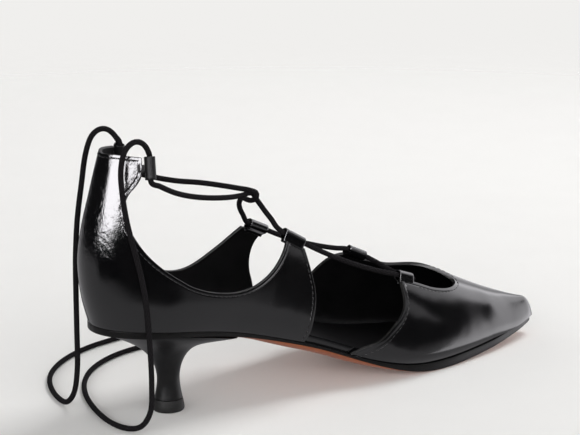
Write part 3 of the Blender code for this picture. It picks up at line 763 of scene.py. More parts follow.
def wobble_skin(panel, held):
    """Push a skin in and out by slow noise, less and less towards its held edges."""
    moved = []
    for point, vertex in zip(read_points(panel), panel.data.vertices):
        away = ease(held.find(point)[2] / WOBBLE_FADE)
        fine = noise.noise(Vector(point) / (WOBBLE_SIZE * FINE_WOBBLE))
        push = noise.noise(Vector(point) / WOBBLE_SIZE) + FINE_WOBBLE * fine
        moved.append(point + np.asarray(vertex.normal) * push * WOBBLE * away)
    write_points(panel, np.asarray(moved))


def build_wall(panel):
    """Thicken a skin inwards and roll its edges; slots 1 and 2 are the lining and the cut edge."""
    for _ in range(3):
        panel.data.materials.append(None)
    finish_with(
        panel, "SOLIDIFY", thickness=WALL * MM, offset=-1, use_even_offset=False, material_offset=1,
        material_offset_rim=2,
    )
    roll_edges(panel, EDGE_ROLL, 3, CORNER_ANGLE, use_clamp_overlap=True, material=2)


def mark_edge_distance(obj, distances):
    """Distance of every point from the cut edge, in millimetres, kept for the finish."""
    marks = obj.data.attributes.new("edge_distance", "FLOAT", "POINT")
    marks.data.foreach_set("value", distances)


quarter_lines = [
    quarter_point(side, resample(QUARTER_EDGES[side][0], QUARTER_EDGE_POINTS)) for side in SIDE_NAMES
]
vamp_lines = [
    vamp_point(side, resample(np.concatenate(VAMP_EDGES[side]), VAMP_EDGE_POINTS)) for side in SIDE_NAMES
]
for panel, lines in ((quarter, quarter_lines), (vamp, vamp_lines)):
    cut_edge = line_tree(np.concatenate(lines))
    wobble_skin(panel, cut_edge)
    build_wall(panel)
    mark_edge_distance(panel, [cut_edge.find(point)[2] for point in read_points(panel)])
    print(panel.name, "triangles:", sum(len(face.vertices) - 2 for face in panel.data.polygons))

# %% [markdown]
# ## Lace loops
# Six loops carry the lace. At the wings and the vamp the top of the tab is folded inwards over the
# cord, so the fold runs on from the tab's outer face and shows its flap inside only. At the heel a
# short tube stands clear of the edge on a narrow neck. A fold is a grid bent round the loop's axis; its
# flaps are pressed on to the panel by looking up the nearest point of the leather.

# %% Folded straps
STRAP = 0.6
STRAP_ROLL = 0.18
LOOP_BEND = 2.25
TAB_GAP = 2.9
FLAP = 1.6
FLAP_STEPS = 7
FLAP_DIVE = 1.6
FLAP_CLEAR = 0.05
FLUSH = 0.12
FOLD_TURNS = (98, -140)
FOLD_STEPS = 23
FOLD_IRONING = 3
OUTER_START = 0.2
INNER_START = 0.3
TUBE_TURN = 172
TUBE_STEPS = 29
LOOP_STEPS = 13


def leather_tree(panel):
    """Nearest-point lookup on a finished panel, in maker's millimetres."""
    faces = [tuple(face.vertices) for face in panel.data.polygons]
    return BVHTree.FromPolygons(read_points(panel).tolist(), faces)


def fold_profile(place):
    """Mid-line of a fold: away from the tab, outwards, and 1 on the outer flap or -1 on the inner."""
    turns = np.radians(np.linspace(*FOLD_TURNS, FOLD_STEPS))
    bend = LOOP_BEND * np.stack([np.cos(turns), np.sin(turns)], axis=-1)
    reach = np.linspace(-TAB_GAP - FLAP, -TAB_GAP, FLAP_STEPS)
    depth = LOOP_DEPTH[place]
    outer = np.stack([reach, np.full(FLAP_STEPS, depth + OUTER_START)], axis=-1)
    inner = np.stack([reach[::-1], np.full(FLAP_STEPS, depth - WALL - INNER_START)], axis=-1)
    marks = np.repeat((1.0, 0.0, -1.0), (FLAP_STEPS, FOLD_STEPS, FLAP_STEPS))
    return np.column_stack([np.concatenate([outer, bend, inner]), marks])


def tube_profile():
    """Mid-line of a tube with a slit towards the tab."""
    turns = np.radians(np.linspace(TUBE_TURN, -TUBE_TURN, TUBE_STEPS))
    return LOOP_BEND * np.stack([np.cos(turns), np.sin(turns)], axis=-1)


def loop_frames(side, place, count):
    """Points along a loop's axis, with the directions away from the tab and outwards."""
    ends = loop_axis(side, place)
    pattern = [np.asarray(end, float) for end in LOOP_ENDS[place, side]]
    axis = unit(ends[1] - ends[0])
    away_step = STEP_ALONG if place == "heel" else STEP_UP
    frames = []
    for t in np.linspace(0, 1, count):
        spot = pattern[0] + (pattern[1] - pattern[0]) * t
        away = quarter_point(side, spot + away_step) - quarter_point(side, spot)
        away = unit(away - axis * np.dot(away, axis))
        out = np.cross(axis, away)
        out = out * np.sign(np.dot(out, surface_normal(side, spot)))
        frames.append((ends[0] + (ends[1] - ends[0]) * t, away, out))
    return frames


def thicken(sheet, thickness, roll):
    finish_with(sheet, "SOLIDIFY", thickness=thickness * MM, offset=0, use_even_offset=True)
    roll_edges(sheet, roll, 2, CORNER_ANGLE)
    face_outwards(sheet)


def make_fold(side, place, tree):
    """Top of a tab folded inwards over the cord."""
    frames = loop_frames(side, place, LOOP_STEPS)
    rows = []
    for here, away, out in frames:
        row = []
        for a, n, flap in fold_profile(place):
            point = here + away * a + out * n
            if flap:
                hit, normal, _, _ = tree.find_nearest(Vector(point))
                down = (-TAB_GAP - a) / FLAP
                outside = FLUSH * (1 - FLAP_DIVE * down) - STRAP / 2
                lift = outside if flap > 0 else STRAP / 2 + FLAP_CLEAR
                point = np.asarray(hit + normal * lift)
            row.append(point)
        rows.append(iron(row, FOLD_IRONING))
    # The two rows at each mouth repeat the third, since the tab's own corner lies under them.
    for end in (0, 1, LOOP_STEPS - 2, LOOP_STEPS - 1):
        inside = min(max(end, 2), LOOP_STEPS - 3)
        rows[end] = rows[inside] + frames[end][0] - frames[inside][0]
    fold = lay_grid(np.asarray(rows), False)
    thicken(fold, STRAP, STRAP_ROLL)
    return fold


NECK_LENGTH = 3.4
NECK_THICKNESS = 1.2
NECK_ROLL = 0.2
NECK_OVERLAP = 0.2
NECK_ROOT = 3.0
NECK_STEPS = (8, 6)


def make_tube(side):
    """Heel loop: a tube round the cord, on a narrow neck that runs into the edge of the counter."""
    frames = loop_frames(side, "heel", LOOP_STEPS)
    rows = [[here + away * a + out * n for a, n in tube_profile()] for here, away, out in frames]
    tube = lay_grid(np.asarray(rows), False)
    thicken(tube, STRAP, STRAP_ROLL)
    middle, away, _ = frames[LOOP_STEPS // 2]
    along = unit(frames[-1][0] - frames[0][0])
    reach = np.linspace(-LOOP_BEND + NECK_OVERLAP, -TAB_GAP - NECK_ROOT, NECK_STEPS[0])
    widths = np.linspace(-NECK_LENGTH / 2, NECK_LENGTH / 2, NECK_STEPS[1])
    neck = lay_grid(np.asarray([[middle + away * a + along * w for w in widths] for a in reach]), False)
    thicken(neck, NECK_THICKNESS, NECK_ROLL)
    pick(tube, neck)
    bpy.ops.object.join()
    return tube


quarter_tree = leather_tree(quarter)
vamp_tree = leather_tree(vamp)
straps = {}
for side in SIDE_NAMES:
    straps["heel", side] = make_tube(side)
    straps["wing", side] = make_fold(side, "wing", quarter_tree)
    straps["vamp", side] = make_fold(side, "vamp", vamp_tree)
for (place, side), strap in straps.items():
    strap.name = strap.data.name = place + "_strap_" + SIDE_NAMES[side]
print("lace loops:", len(straps))

# %% [markdown]
# ## Stitching
# The edges are sewn a couple of millimetres in. One stitch is a small sphere primitive drawn out to a
# bead of thread; it is copied along a line that follows the edge on the pattern, and every copy is
# turned to the leather under it and sunk a little, so that its ends dive into the needle holes.

# %% Rows of stitches
STITCH_LENGTH = 2.1
STITCH_PITCH = 2.6
STITCH_WIDTH = 0.42
STITCH_LIFT = 0.02


def stitch_bead():
    """Points and faces of one stitch, along x, with z out of the leather."""
    bpy.ops.object.select_all(action="DESELECT")
    bpy.ops.mesh.primitive_uv_sphere_add(segments=6, ring_count=5, radius=0.5)
    bead = bpy.context.object
    points = raw_points(bead)[:, [2, 0, 1]]
    faces = [tuple(face.vertices) for face in bead.data.polygons]
    bpy.data.objects.remove(bead, do_unlink=True)
    return points * np.array((STITCH_LENGTH, STITCH_WIDTH, STITCH_WIDTH)), faces


BEAD_POINTS, BEAD_FACES = stitch_bead()


def inset_line(line, inset):
    """A pattern line moved into its panel, which lies to the right of it."""
    along = np.gradient(line, axis=0)
    along = along / np.linalg.norm(along, axis=1)[:, None]
    return line + inset * np.stack([along[:, 1], -along[:, 0]], axis=-1)


def sew(name, lines, tree):
    """All the stitches of one panel, along lines in maker's millimetres."""
    points, faces = [], []
    for line in lines:
        count = max(2, int(runs_along(line)[-1] / STITCH_PITCH))
        spots = resample(line, 2 * count + 1)
        for k in range(1, 2 * count, 2):
            hit, normal, _, _ = tree.find_nearest(Vector(spots[k]))
            along = unit(spots[k + 1] - spots[k - 1])
            out = unit(np.asarray(normal) - along * np.dot(normal, along))
            axes = np.stack([along, np.cross(out, along), out])
            start = len(points) * len(BEAD_POINTS)
            points.append(np.asarray(hit) + out * STITCH_LIFT + BEAD_POINTS @ axes)
            faces += [tuple(index + start for index in face) for face in BEAD_FACES]
    thread = new_mesh(name, np.concatenate(points), faces)
    face_outwards(thread)
    bpy.ops.object.shade_smooth()
    print(name, "stitches:", len(points))
    return thread


STITCH_INSET = 1.8
COUNTER_SEAM_POINTS = 80
# The part of each line that is sewn; the rest lies under a folded tab or beside another line's end.
SEWN = {
    "counter": slice(4, -8), "topline": slice(8, -40), "front": slice(40, -8), "rear": slice(8, -25),
    "throat": slice(70, None),
}
quarter_sewing, vamp_sewing = [], []
for side in SIDE_NAMES:
    _, topline, front = QUARTER_EDGES[side]
    rear, throat = VAMP_EDGES[side]
    counter = trace(COUNTER_TOP, COUNTER_SEAM_POINTS)
    for name, line in (("counter", counter), ("topline", topline), ("front", front)):
        quarter_sewing.append(quarter_point(side, inset_line(line, STITCH_INSET)[SEWN[name]]))
    for name, line in (("rear", rear), ("throat", throat)):
        vamp_sewing.append(vamp_point(side, inset_line(line, STITCH_INSET)[SEWN[name]]))
quarter_thread = sew("quarter_stitching", quarter_sewing, quarter_tree)
vamp_thread = sew("vamp_stitching", vamp_sewing, vamp_tree)

# %% [markdown]
# ## Instep lace
# One lace does all the work. From each heel loop it runs forward to an elbow over the instep, where
# the two sides hook round each other, then down through the wing loop and on to the vamp loop of its
# own side. In front of the vamp loops a short run joins the two sides across the throat.

# %% Lace strands and knots
LACE_SAG = 2.0
LACE_CLEAR = 0.8
LACE_INSIDE = -2.0
SAG_POINTS = 9
INSTEP_POINTS = 500
FRONT_LACE_POINTS = 300
BRIDGE_POINTS = 200
BRIDGE_CLEAR = 0.4
BRIDGE_REACH = 3.0
BRIDGE_TURN = 2.0
BRIDGE_DROP = 0.4
BRIDGE_LOW = np.array((1.0, 0, -1.6))


def through(side, place, first):
    """Points of a lace that passes through a loop, from its end number first."""
    stops = ((first, LACE_CLEAR), (first, LACE_INSIDE), (1 - first, LACE_INSIDE), (1 - first, LACE_CLEAR))
    return [mouth(side, place, end, clear) for end, clear in stops]


ELBOW = {
    LATERAL: (
        (40.5, 12.4, 112.2), (58.9, 6.7, 107.1), (70.0, 3.8, 105.4), (81.5, 0.2, 103.0),
        (87.5, -2.0, 101.6), (91.4, -4.6, 100.8), (94.6, -6.4, 99.2), (94.8, -5.6, 96.6),
        (94.4, -2.0, 94.8), (95.0, 3.2, 94.0), (96.6, 9.0, 93.2), (97.9, 13.6, 91.8),
        (98.4, 16.4, 89.2), (100.0, 18.6, 85.6), (102.6, 20.1, 81.6),
    ),
    MEDIAL: (
        (36.9, -18.9, 112.6), (45.7, -16.5, 108.0), (54.7, -14.2, 104.7), (63.8, -11.9, 102.3),
        (76.2, -8.7, 100.0), (84.5, -5.4, 98.8), (89.6, -3.2, 98.4), (93.6, -0.8, 98.2),
        (97.0, 0.8, 97.0), (98.0, -0.6, 94.6), (97.4, -5.6, 92.8), (97.4, -9.8, 90.6),
        (98.6, -13.4, 87.4), (99.8, -16.4, 84.0),
    ),
}


def instep_path(side):
    """From a heel loop to the elbow and through the wing loop."""
    tie_start = TIE_PATHS[side][4]
    stops = [tie_start, *through(side, "heel", 0), *ELBOW[side], *through(side, "wing", 0)]
    return trace(stops, INSTEP_POINTS)


def front_path(side):
    """From a wing loop's front mouth, hanging a little, through the vamp loop."""
    start, end = mouth(side, "wing", 1), mouth(side, "vamp", 0, LACE_CLEAR)
    shares = np.linspace(0, 1, SAG_POINTS)[:-1]
    span = start + (end - start) * shares[:, None]
    span[:, 2] -= 4 * LACE_SAG * shares * (1 - shares)
    return trace([*span, *through(side, "vamp", 0)], FRONT_LACE_POINTS)


def bridge_path():
    """The lace between the front mouths of the two vamp loops, hanging a little into the throat."""
    ends, turned = {}, {}
    for side in SIDE_NAMES:
        ends[side] = mouth(side, "vamp", 1, BRIDGE_CLEAR)
        ahead = unit(ends[side] - mouth(side, "vamp", 0)) * BRIDGE_REACH
        turned[side] = ends[side] + ahead + np.array((0, -side * BRIDGE_TURN, -BRIDGE_DROP))
    low = (turned[MEDIAL] + turned[LATERAL]) / 2 + BRIDGE_LOW
    return trace([ends[MEDIAL], turned[MEDIAL], low, turned[LATERAL], ends[LATERAL]], BRIDGE_POINTS)


KNOT_POINTS = 160
KNOT_RADIUS = 4.2
KNOT_GAP = 0.1
KNOT_HEIGHT = 3.9
KNOT_SIZE = (3.2, 2.7, 2.4)
KNOT_CORD = 1.2


def knot_path(centre, along, size):
    """Closed three-lobed knot, flattened across the lace."""
    turns = np.linspace(0, 2 * math.pi, KNOT_POINTS)
    lobes = np.stack([
        np.sin(turns) + 2 * np.sin(2 * turns),
        np.cos(turns) - 2 * np.cos(2 * turns),
        -np.sin(3 * turns) * 1.5,
    ], axis=-1) / 3
    along = unit(along)
    side = unit(np.cross(along, (0.1, 0.2, 1)))
    axes = np.stack([along, np.cross(side, along), side])
    return centre + (lobes * np.asarray(size)) @ axes


# Each run is a trace thinner than the one it meets, so that their skins don't coincide.
INSTEP_RADIUS = CORD_RADIUS * 0.99
FRONT_RADIUS = CORD_RADIUS * 0.98
laces = []
for side, name in SIDE_NAMES.items():
    instep = cord_tube("instep_lace_" + name, instep_path(side), INSTEP_RADIUS)
    front = cord_tube("front_lace_" + name, front_path(side), FRONT_RADIUS)
    laces += [(instep, ["lace_crossing"]), (front, ["lace_front_" + name])]
laces.append((cord_tube("front_lace_bridge", bridge_path(), FRONT_RADIUS), []))
tie_knots = {}
for side, name in SIDE_NAMES.items():
    path = TIE_PATHS[side]
    heading = unit(path[-1] - path[-8])
    centre = path[-1] + heading * (KNOT_RADIUS + KNOT_GAP)
    centre[2] = KNOT_HEIGHT
    tie_knots[side] = cord_tube("lace_knot_" + name, knot_path(centre, heading, KNOT_SIZE), KNOT_CORD)
print("lace pieces:", len(laces) + len(tie_knots))

# %% [markdown]
# ## Sole and heel
# Under the upper lie a thin insole wrapped in lining leather, with a polished binding along its inner
# edge, and a leather outsole that is tan below and inked black along its edge. Both are plates between
# two height curves: two grids, one above the other, joined round their rims. The heel and its top piece
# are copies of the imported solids, merged into quads, bevelled and subdivided.

# %% Sole plates
GAP = 0.3
PLATE_COLUMNS = 18
COLUMN_CROWDING = 0.92
HEEL_TURNS = np.radians(np.linspace(3, 88, 26))
LENGTH_STATIONS = 90
TOE_STATIONS = 13
TOE_RUN = 8.0
TOE_INSET_START = 200.0
PLATE_CORNER_ANGLE = 40
INSOLE_THICKNESS = 4.2
INSOLE_INSET = 2.6
INSOLE_HOLLOW = 0.6
SOLE_MARGIN = 0.6
HEEL_MARGIN = 0.1
MARGIN_START = 60.0
MARGIN_RUN = 80.0
TOE_OVERHANG = 1.5
OVERHANG_START = 225.0
OVERHANG_RUN = 35.0
SOLE_SEAT = 0.06
SOLE_CROWN = 5
SOLE_ROLL = 0.35
INSOLE_ROLL = 0.5


def sole_margin(x):
    """How far the sole stands out past the feather line."""
    grown = (SOLE_MARGIN - HEEL_MARGIN) * float(ease((x - MARGIN_START) / MARGIN_RUN))
    return HEEL_MARGIN + grown - TOE_OVERHANG * float(ease((x - OVERHANG_START) / OVERHANG_RUN))


def plate_stations(inset_at):
    """Stations of a plate: x and its two edges, from the centre back to the toe."""
    back = float(back_x(0)) + inset_at(0)
    end = SHOE_LENGTH - inset_at(SHOE_LENGTH)
    depth = HEEL_ROUND_X - back
    rows = [(HEEL_ROUND_X - depth * math.cos(turn), math.sin(turn)) for turn in HEEL_TURNS]
    rows += [(x, 1.0) for x in np.linspace(HEEL_ROUND_X, end - TOE_RUN, LENGTH_STATIONS)]
    rows += [(end - TOE_RUN * (1 - t) ** 2, 1.0) for t in np.linspace(0, 1, TOE_STATIONS + 1)[1:]]
    stations = []
    for x, share in rows:
        at = max(x, HEEL_ROUND_X)
        inset = inset_at(at)
        toe = min(max((at - TOE_INSET_START) / (end - TOE_INSET_START), 0), 1)
        look = min(at + inset * toe, SHOE_LENGTH)
        narrow = 1 - float(section("tuck", at))
        widths = {side: float(half_width(side, look)) * narrow - inset for side in SIDE_NAMES}
        edges = [side * share * width + float(axis_y(x)) for side, width in widths.items()]
        stations.append((x, *edges))
    return stations


def make_plate(name, inset_at, top_z, bottom_z, roll):
    """Closed plate between two height curves, which read x and the share of the way to an edge."""
    top, bottom = [], []
    reach = math.pi / 2 * COLUMN_CROWDING
    shares = np.sin(np.linspace(-reach, reach, PLATE_COLUMNS + 1)) / math.sin(reach)
    for x, right, left in plate_stations(inset_at):
        across = right + (left - right) * (shares + 1) / 2
        top.append([(x, y, top_z(x, q)) for y, q in zip(across, shares)])
        bottom.append([(x, y, bottom_z(x, q)) for y, q in zip(across, shares)])
    top, bottom = np.asarray(top), np.asarray(bottom)
    sheets = [lay_grid(top, False), lay_grid(bottom, True)]
    for rim in (np.s_[:, 0], np.s_[:, -1], np.s_[0], np.s_[-1]):
        sheets.append(lay_grid(np.stack([top[rim], bottom[rim]]), False))
    plate = join_as(name, sheets)
    face_outwards(plate)
    roll_edges(plate, roll, 3, PLATE_CORNER_ANGLE)
    print(name, "faces:", len(plate.data.polygons))
    return plate


def feather_z(x):
    return float(section("feather", x))


def sole_bottom(x, share):
    thick, edge = float(section("sole", x)), float(section("edge", x))
    depth = edge + (thick - edge) * (1 - abs(share) ** SOLE_CROWN)
    return max(0.0, feather_z(x) - GAP - depth)


def sole_top(x, share):
    return feather_z(x) - SOLE_SEAT


def insole_top(x, share):
    return feather_z(x) + INSOLE_THICKNESS - INSOLE_HOLLOW * (1 - share * share)


outsole = make_plate("sole_outsole", lambda x: -sole_margin(x), sole_top, sole_bottom, SOLE_ROLL)
insole = make_plate(
    "sole_insole", lambda x: INSOLE_INSET, insole_top, lambda x, share: feather_z(x), INSOLE_ROLL,
)

# %% Heel and top piece
HEEL_MERGE = 0.01
HEEL_ROLL = 0.3
TOP_PIECE_ROLL = 0.35
HEEL_CORNER_ANGLE = 42
SMOOTH_LEVELS = 2


def node_copy(node, name):
    """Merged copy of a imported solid, in quads where its triangles pair up."""
    obj = bpy.data.objects.new(name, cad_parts[node].data.copy())
    bpy.context.scene.collection.objects.link(obj)
    pick(obj)
    bpy.ops.object.mode_set(mode="EDIT")
    bpy.ops.mesh.select_all(action="SELECT")
    bpy.ops.mesh.remove_doubles(threshold=HEEL_MERGE * MM)
    bpy.ops.mesh.tris_convert_to_quads()
    bpy.ops.object.mode_set(mode="OBJECT")
    return obj


def round_over(obj, roll):
    roll_edges(obj, roll, 2, HEEL_CORNER_ANGLE)
    finish_with(obj, "SUBSURF", levels=SMOOTH_LEVELS, render_levels=SMOOTH_LEVELS)
    bpy.ops.object.shade_smooth()
    print(obj.name, "faces:", len(obj.data.polygons))


heel = node_copy("heel", "heel_block")
round_over(heel, HEEL_ROLL)
top_piece = node_copy("heel_top_piece", "heel_top_piece_rubber")
round_over(top_piece, TOP_PIECE_ROLL)

# %% [markdown]
# ## Finishes
# Every finish is built from nodes that read the place on the object, so it stays put when the shoe is
# turned. A small class lets the sums be written as sums: each plus or times adds a Math node. A second
# one adds any other node from its kind, its settings and what goes into its sockets.

# %% Shader sums


class Value:
    """A shader socket that takes part in sums as a number does."""

    def __init__(self, finish, socket):
        self.finish = finish
        self.socket = socket

    def math(self, operation, *terms):
        return self.finish.node("ShaderNodeMath", {"operation": operation}, dict(enumerate(terms)))

    def __add__(self, other):
        return self.math("ADD", self, other)

    def __radd__(self, other):
        return self.math("ADD", other, self)

    def __sub__(self, other):
        return self.math("SUBTRACT", self, other)

    def __rsub__(self, other):
        return self.math("SUBTRACT", other, self)

    def __mul__(self, other):
        return self.math("MULTIPLY", self, other)

    def __rmul__(self, other):
        return self.math("MULTIPLY", other, self)

    def __truediv__(self, other):
        return self.math("DIVIDE", self, other)

    def __rtruediv__(self, other):
        return self.math("DIVIDE", other, self)

    def __abs__(self):
        return self.math("ABSOLUTE", self)

    def sine(self):
        return self.math("SINE", self)

    def fraction(self):
        return self.math("FRACT", self)

    def above(self, other):
        return self.math("GREATER_THAN", self, other)

    def larger(self, other):
        return self.math("MAXIMUM", self, other)

    def clipped(self):
        return self.finish.node("ShaderNodeClamp", {}, {"Value": self})


class Finish:
    """A material whose nodes are added one call at a time."""

    def __init__(self, name):
        self.take(bpy.data.materials.new(name))
        self.shader = self.tree.nodes["Principled BSDF"]

    def take(self, owner):
        self.material = owner
        self.material.use_nodes = True
        self.tree = self.material.node_tree

    def node(self, kind, settings, sockets, output=0):
        made = self.tree.nodes.new(kind)
        for key, value in settings.items():
            if key == "stops":
                self.set_stops(made.color_ramp, value)
            else:
                setattr(made, key, value)
        for key, value in sockets.items():
            self.feed(made.inputs[key], value)
        return Value(self, made.outputs[output])

    def set_stops(self, ramp, stops):
        while len(ramp.elements) < len(stops):
            ramp.elements.new(0.5)
        for element, (place, color) in zip(ramp.elements, stops):
            element.position = place
            element.color = (*color, 1)

    def feed(self, socket, value):
        if isinstance(value, Value):
            self.tree.links.new(value.socket, socket)
        else:
            socket.default_value = value

    def surface(self, sockets):
        for key, value in sockets.items():
            self.feed(self.shader.inputs[key], value)
        return self.material

    def place(self):
        return self.node("ShaderNodeTexCoord", {}, {}, "Object")

    def stretched(self, vector, scale):
        return self.node("ShaderNodeMapping", {}, {"Vector": vector, "Scale": scale})

    def axis(self, vector, name):
        return self.node("ShaderNodeSeparateXYZ", {}, {"Vector": vector}, name)

    def mottle(self, vector, scale, detail=3.0, roughness=0.5, distortion=0.0):
        sockets = {"Vector": vector, "Scale": scale, "Detail": detail, "Roughness": roughness,
                   "Distortion": distortion}
        return self.node("ShaderNodeTexNoise", {}, sockets, "Fac")

    def pebble(self, vector, scale):
        sockets = {"Vector": vector, "Scale": scale}
        return self.node("ShaderNodeTexVoronoi", {"feature": "F1"}, sockets, "Distance")

    def band(self, value, low, high):
        """0 under low, 1 over high, smooth between."""
        sockets = {"Value": value, "From Min": low, "From Max": high}
        return self.node("ShaderNodeMapRange", {"interpolation_type": "SMOOTHSTEP"}, sockets)

    def shades(self, value, *stops):
        return self.node("ShaderNodeValToRGB", {"stops": stops}, {"Fac": value}, "Color")

    def relief(self, height, depth_mm, strength=1.0):
        sockets = {"Height": height, "Distance": depth_mm * MM, "Strength": strength}
        return self.node("ShaderNodeBump", {}, sockets, "Normal")


print("shader sums are ready")

# %% [markdown]
# The upper is brushed-off calf: black, polished to a soft mirror, with a trace of grain. An even gloss
# would look like plastic, so a fine cell pattern bumps the surface, the counter is creased where it was
# pulled tight, and a shallow groove follows the stitches, read from the distance to the cut edge.

# %% Polished leather


def polished_leather():
    finish = Finish("polished_leather")
    place = finish.place()
    along, up = finish.axis(place, "X"), finish.axis(place, "Z")
    edge = finish.node("ShaderNodeAttribute", {"attribute_name": "edge_distance"}, {}, "Fac")
    grain = finish.pebble(place, 1500.0)
    slow = finish.mottle(place, 60.0, 2.0)
    crease = finish.mottle(finish.stretched(place, (1.0, 1.0, 0.55)), 620.0, 3.0, 0.6, 0.8)
    counter = (1 - finish.band(along, -0.100, -0.080)) * finish.band(up, 0.062, 0.096)
    groove = (1 - abs(edge - STITCH_INSET) / 0.5).clipped()
    back = 1 - finish.band(along, -0.123, -0.117)
    rim = 1 - finish.band(edge, 3.0, 7.0)
    crinkled = 0.10 + counter * (0.4 + back * 2.4 + rim * 2.0)
    height = grain * 0.12 + crease * crinkled - groove * 1.4
    return finish.surface({
        "Base Color": finish.shades(slow, (0.3, (0.0016, 0.0016, 0.0019)), (0.7, (0.003, 0.0029, 0.0032))),
        "Roughness": 0.10 + slow * 0.05,
        "Specular IOR Level": 0.55,
        "Normal": finish.relief(height, 0.06),
    })


POLISHED = polished_leather()
print("polished leather nodes:", len(POLISHED.node_tree.nodes))

# %% [markdown]
# The other blacks are plainer. The lining and the heel's cover are grained leathers with slow patches of
# shade. The painted edges, the ink on the sole's edge, the rubber and the thread each follow one noise,
# drawn out along the piece where it was ground or rubbed. Only their numbers differ, so two functions
# make them all.

# %% Plain black finishes


def grained_leather(name, grain_size, slow_size, stops, roughness, specular, weights):
    """Leather whose relief is its grain and its slow patches, by two weights."""
    finish = Finish(name)
    place = finish.place()
    grain = finish.pebble(place, grain_size)
    slow = finish.mottle(place, slow_size)
    return finish.surface({
        "Base Color": finish.shades(slow, *stops),
        "Roughness": roughness[0] + slow * roughness[1],
        "Specular IOR Level": specular,
        "Normal": finish.relief(grain * weights[0] + slow * weights[1], 0.05),
    })


def rubbed_finish(name, stretch, speckle, stops, roughness, specular, depth):
    """A finish whose shade, gloss and relief all follow one noise: its scale, detail and fineness."""
    finish = Finish(name)
    rub = finish.mottle(finish.stretched(finish.place(), stretch), *speckle)
    return finish.surface({
        "Base Color": finish.shades(rub, *stops),
        "Roughness": roughness[0] + rub * roughness[1],
        "Specular IOR Level": specular,
        "Normal": finish.relief(rub, depth),
    })


LINING = grained_leather(
    "lining_leather", 1100.0, 90.0, ((0.3, (0.0022, 0.0022, 0.0024)), (0.75, (0.004, 0.0038, 0.004))),
    roughness=(0.50, 0.16), specular=0.06, weights=(1.0, 1.0),
)
COVER = grained_leather(
    "heel_cover", 1300.0, 70.0, ((0.3, (0.007, 0.007, 0.0075)), (0.75, (0.012, 0.0118, 0.012))),
    roughness=(0.30, 0.14), specular=0.08, weights=(0.8, 0.3),
)
PAINTED_EDGE = rubbed_finish(
    "edge_paint", (1.0, 1.0, 1.0), (500.0, 4.0, 0.6),
    ((0.35, (0.010, 0.010, 0.010)), (0.75, (0.03, 0.029, 0.028))),
    roughness=(0.30, 0.16), specular=0.2, depth=0.04,
)
SOLE_INK = rubbed_finish(
    "sole_ink", (0.4, 0.4, 3.0), (700.0, 4.0, 0.6),
    ((0.3, (0.004, 0.004, 0.004)), (0.8, (0.009, 0.0085, 0.0085))),
    roughness=(0.22, 0.15), specular=0.12, depth=0.03,
)
RUBBER = rubbed_finish(
    "top_rubber", (0.15, 0.15, 3.2), (800.0, 3.0, 0.6),
    ((0.3, (0.010, 0.010, 0.010)), (0.75, (0.018, 0.0175, 0.017))),
    roughness=(0.42, 0.2), specular=0.1, depth=0.06,
)
THREAD = rubbed_finish(
    "sewing_thread", (1.0, 1.0, 1.0), (2600.0, 2.0, 0.5),
    ((0.3, (0.010, 0.010, 0.0105)), (0.7, (0.03, 0.029, 0.029))),
    roughness=(0.35, 0.2), specular=0.15, depth=0.05,
)
for plain in (LINING, COVER, PAINTED_EDGE, SOLE_INK, RUBBER, THREAD):
    print("plain finish:", plain.name)

# %% [markdown]
# Under the sole the leather is bare: tan, drawn along its length by rolling, and a little stained. One
# noise stretched along the shoe gives the drawn fibres, a slower one the stains.

# %% Tan sole leather


def sole_leather():
    finish = Finish("sole_leather")
    place = finish.place()
    drawn = finish.mottle(finish.stretched(place, (0.35, 1.6, 1.6)), 260.0, 5.0, 0.6)
    stain = finish.mottle(place, 28.0, 3.0)
    pores = finish.pebble(place, 1300.0)
    return finish.surface({
        "Base Color": finish.shades(
            drawn * 0.45 + stain * 0.55, (0.25, (0.17, 0.042, 0.013)), (0.5, (0.255, 0.067, 0.021)),
            (0.75, (0.32, 0.094, 0.031)),
        ),
        "Roughness": 0.36 + stain * 0.2,
        "Specular IOR Level": 0.1,
        "Normal": finish.relief(drawn + pores * 0.6, 0.05),
    })


TAN_SOLE = sole_leather()
print("sole leather nodes:", len(TAN_SOLE.node_tree.nodes))

# %% [markdown]
# The lace is a round braid: two sets of threads wind round it in opposite directions and pass over and
# under each other. The cord's own UV map gives both directions, and a check made of the two says which
# thread lies on top, so the braid follows every bend. The colour is painted darker in the grooves
# between the threads, a painted shade on the cord's plain charcoal.

# %% Braided cord
BRAID_PITCH = 2.4
BRAID_STRANDS = 6.0


def braided_cord():
    finish = Finish("braided_cord")
    marks = finish.node("ShaderNodeUVMap", {"uv_map": "braid"}, {}, "UV")
    along = finish.axis(marks, "X") / BRAID_PITCH
    around = finish.axis(marks, "Y") * BRAID_STRANDS
    right, left = along + around, along - around
    over = ((right * 0.5).fraction() - 0.5) * ((left * 0.5).fraction() - 0.5)
    top = over.above(0.0)
    right_thread = abs((right * math.pi).sine())
    left_thread = abs((left * math.pi).sine())
    weave = right_thread * top + left_thread * (1 - top)
    fuzz = finish.mottle(finish.place(), 2400.0, 2.0)
    return finish.surface({
        # Colour darker where each thread dips towards its neighbours: painted shade in the grooves of the
        # braid.
        "Base Color": finish.shades(
            weave * 0.75 + fuzz * 0.25, (0.1, (0.004, 0.0037, 0.004)), (0.9, (0.012, 0.011, 0.012)),
        ),
        "Roughness": 0.62 + fuzz * 0.2,
        "Specular IOR Level": 0.02,
        "Normal": finish.relief(weave, 0.16),
    })


BRAID = braided_cord()
print("braid nodes:", len(BRAID.node_tree.nodes))

# %% Finishes on their pieces
TAN_FACING = -0.45
BINDING_FACING = 0.9
INNER_FACING = -0.3
NO_EDGE_NEAR = 50.0


def wear(obj, *materials):
    slots = obj.data.materials
    for index, material in enumerate(materials):
        if index == len(slots):
            slots.append(None)
        slots[index] = material


def second_finish(plate, chosen):
    """Faces chosen by their normal take the plate's second finish."""
    picked = [int(chosen(face.normal)) for face in plate.data.polygons]
    plate.data.polygons.foreach_set("material_index", picked)
    print(plate.name, "faces in the second finish:", sum(picked))


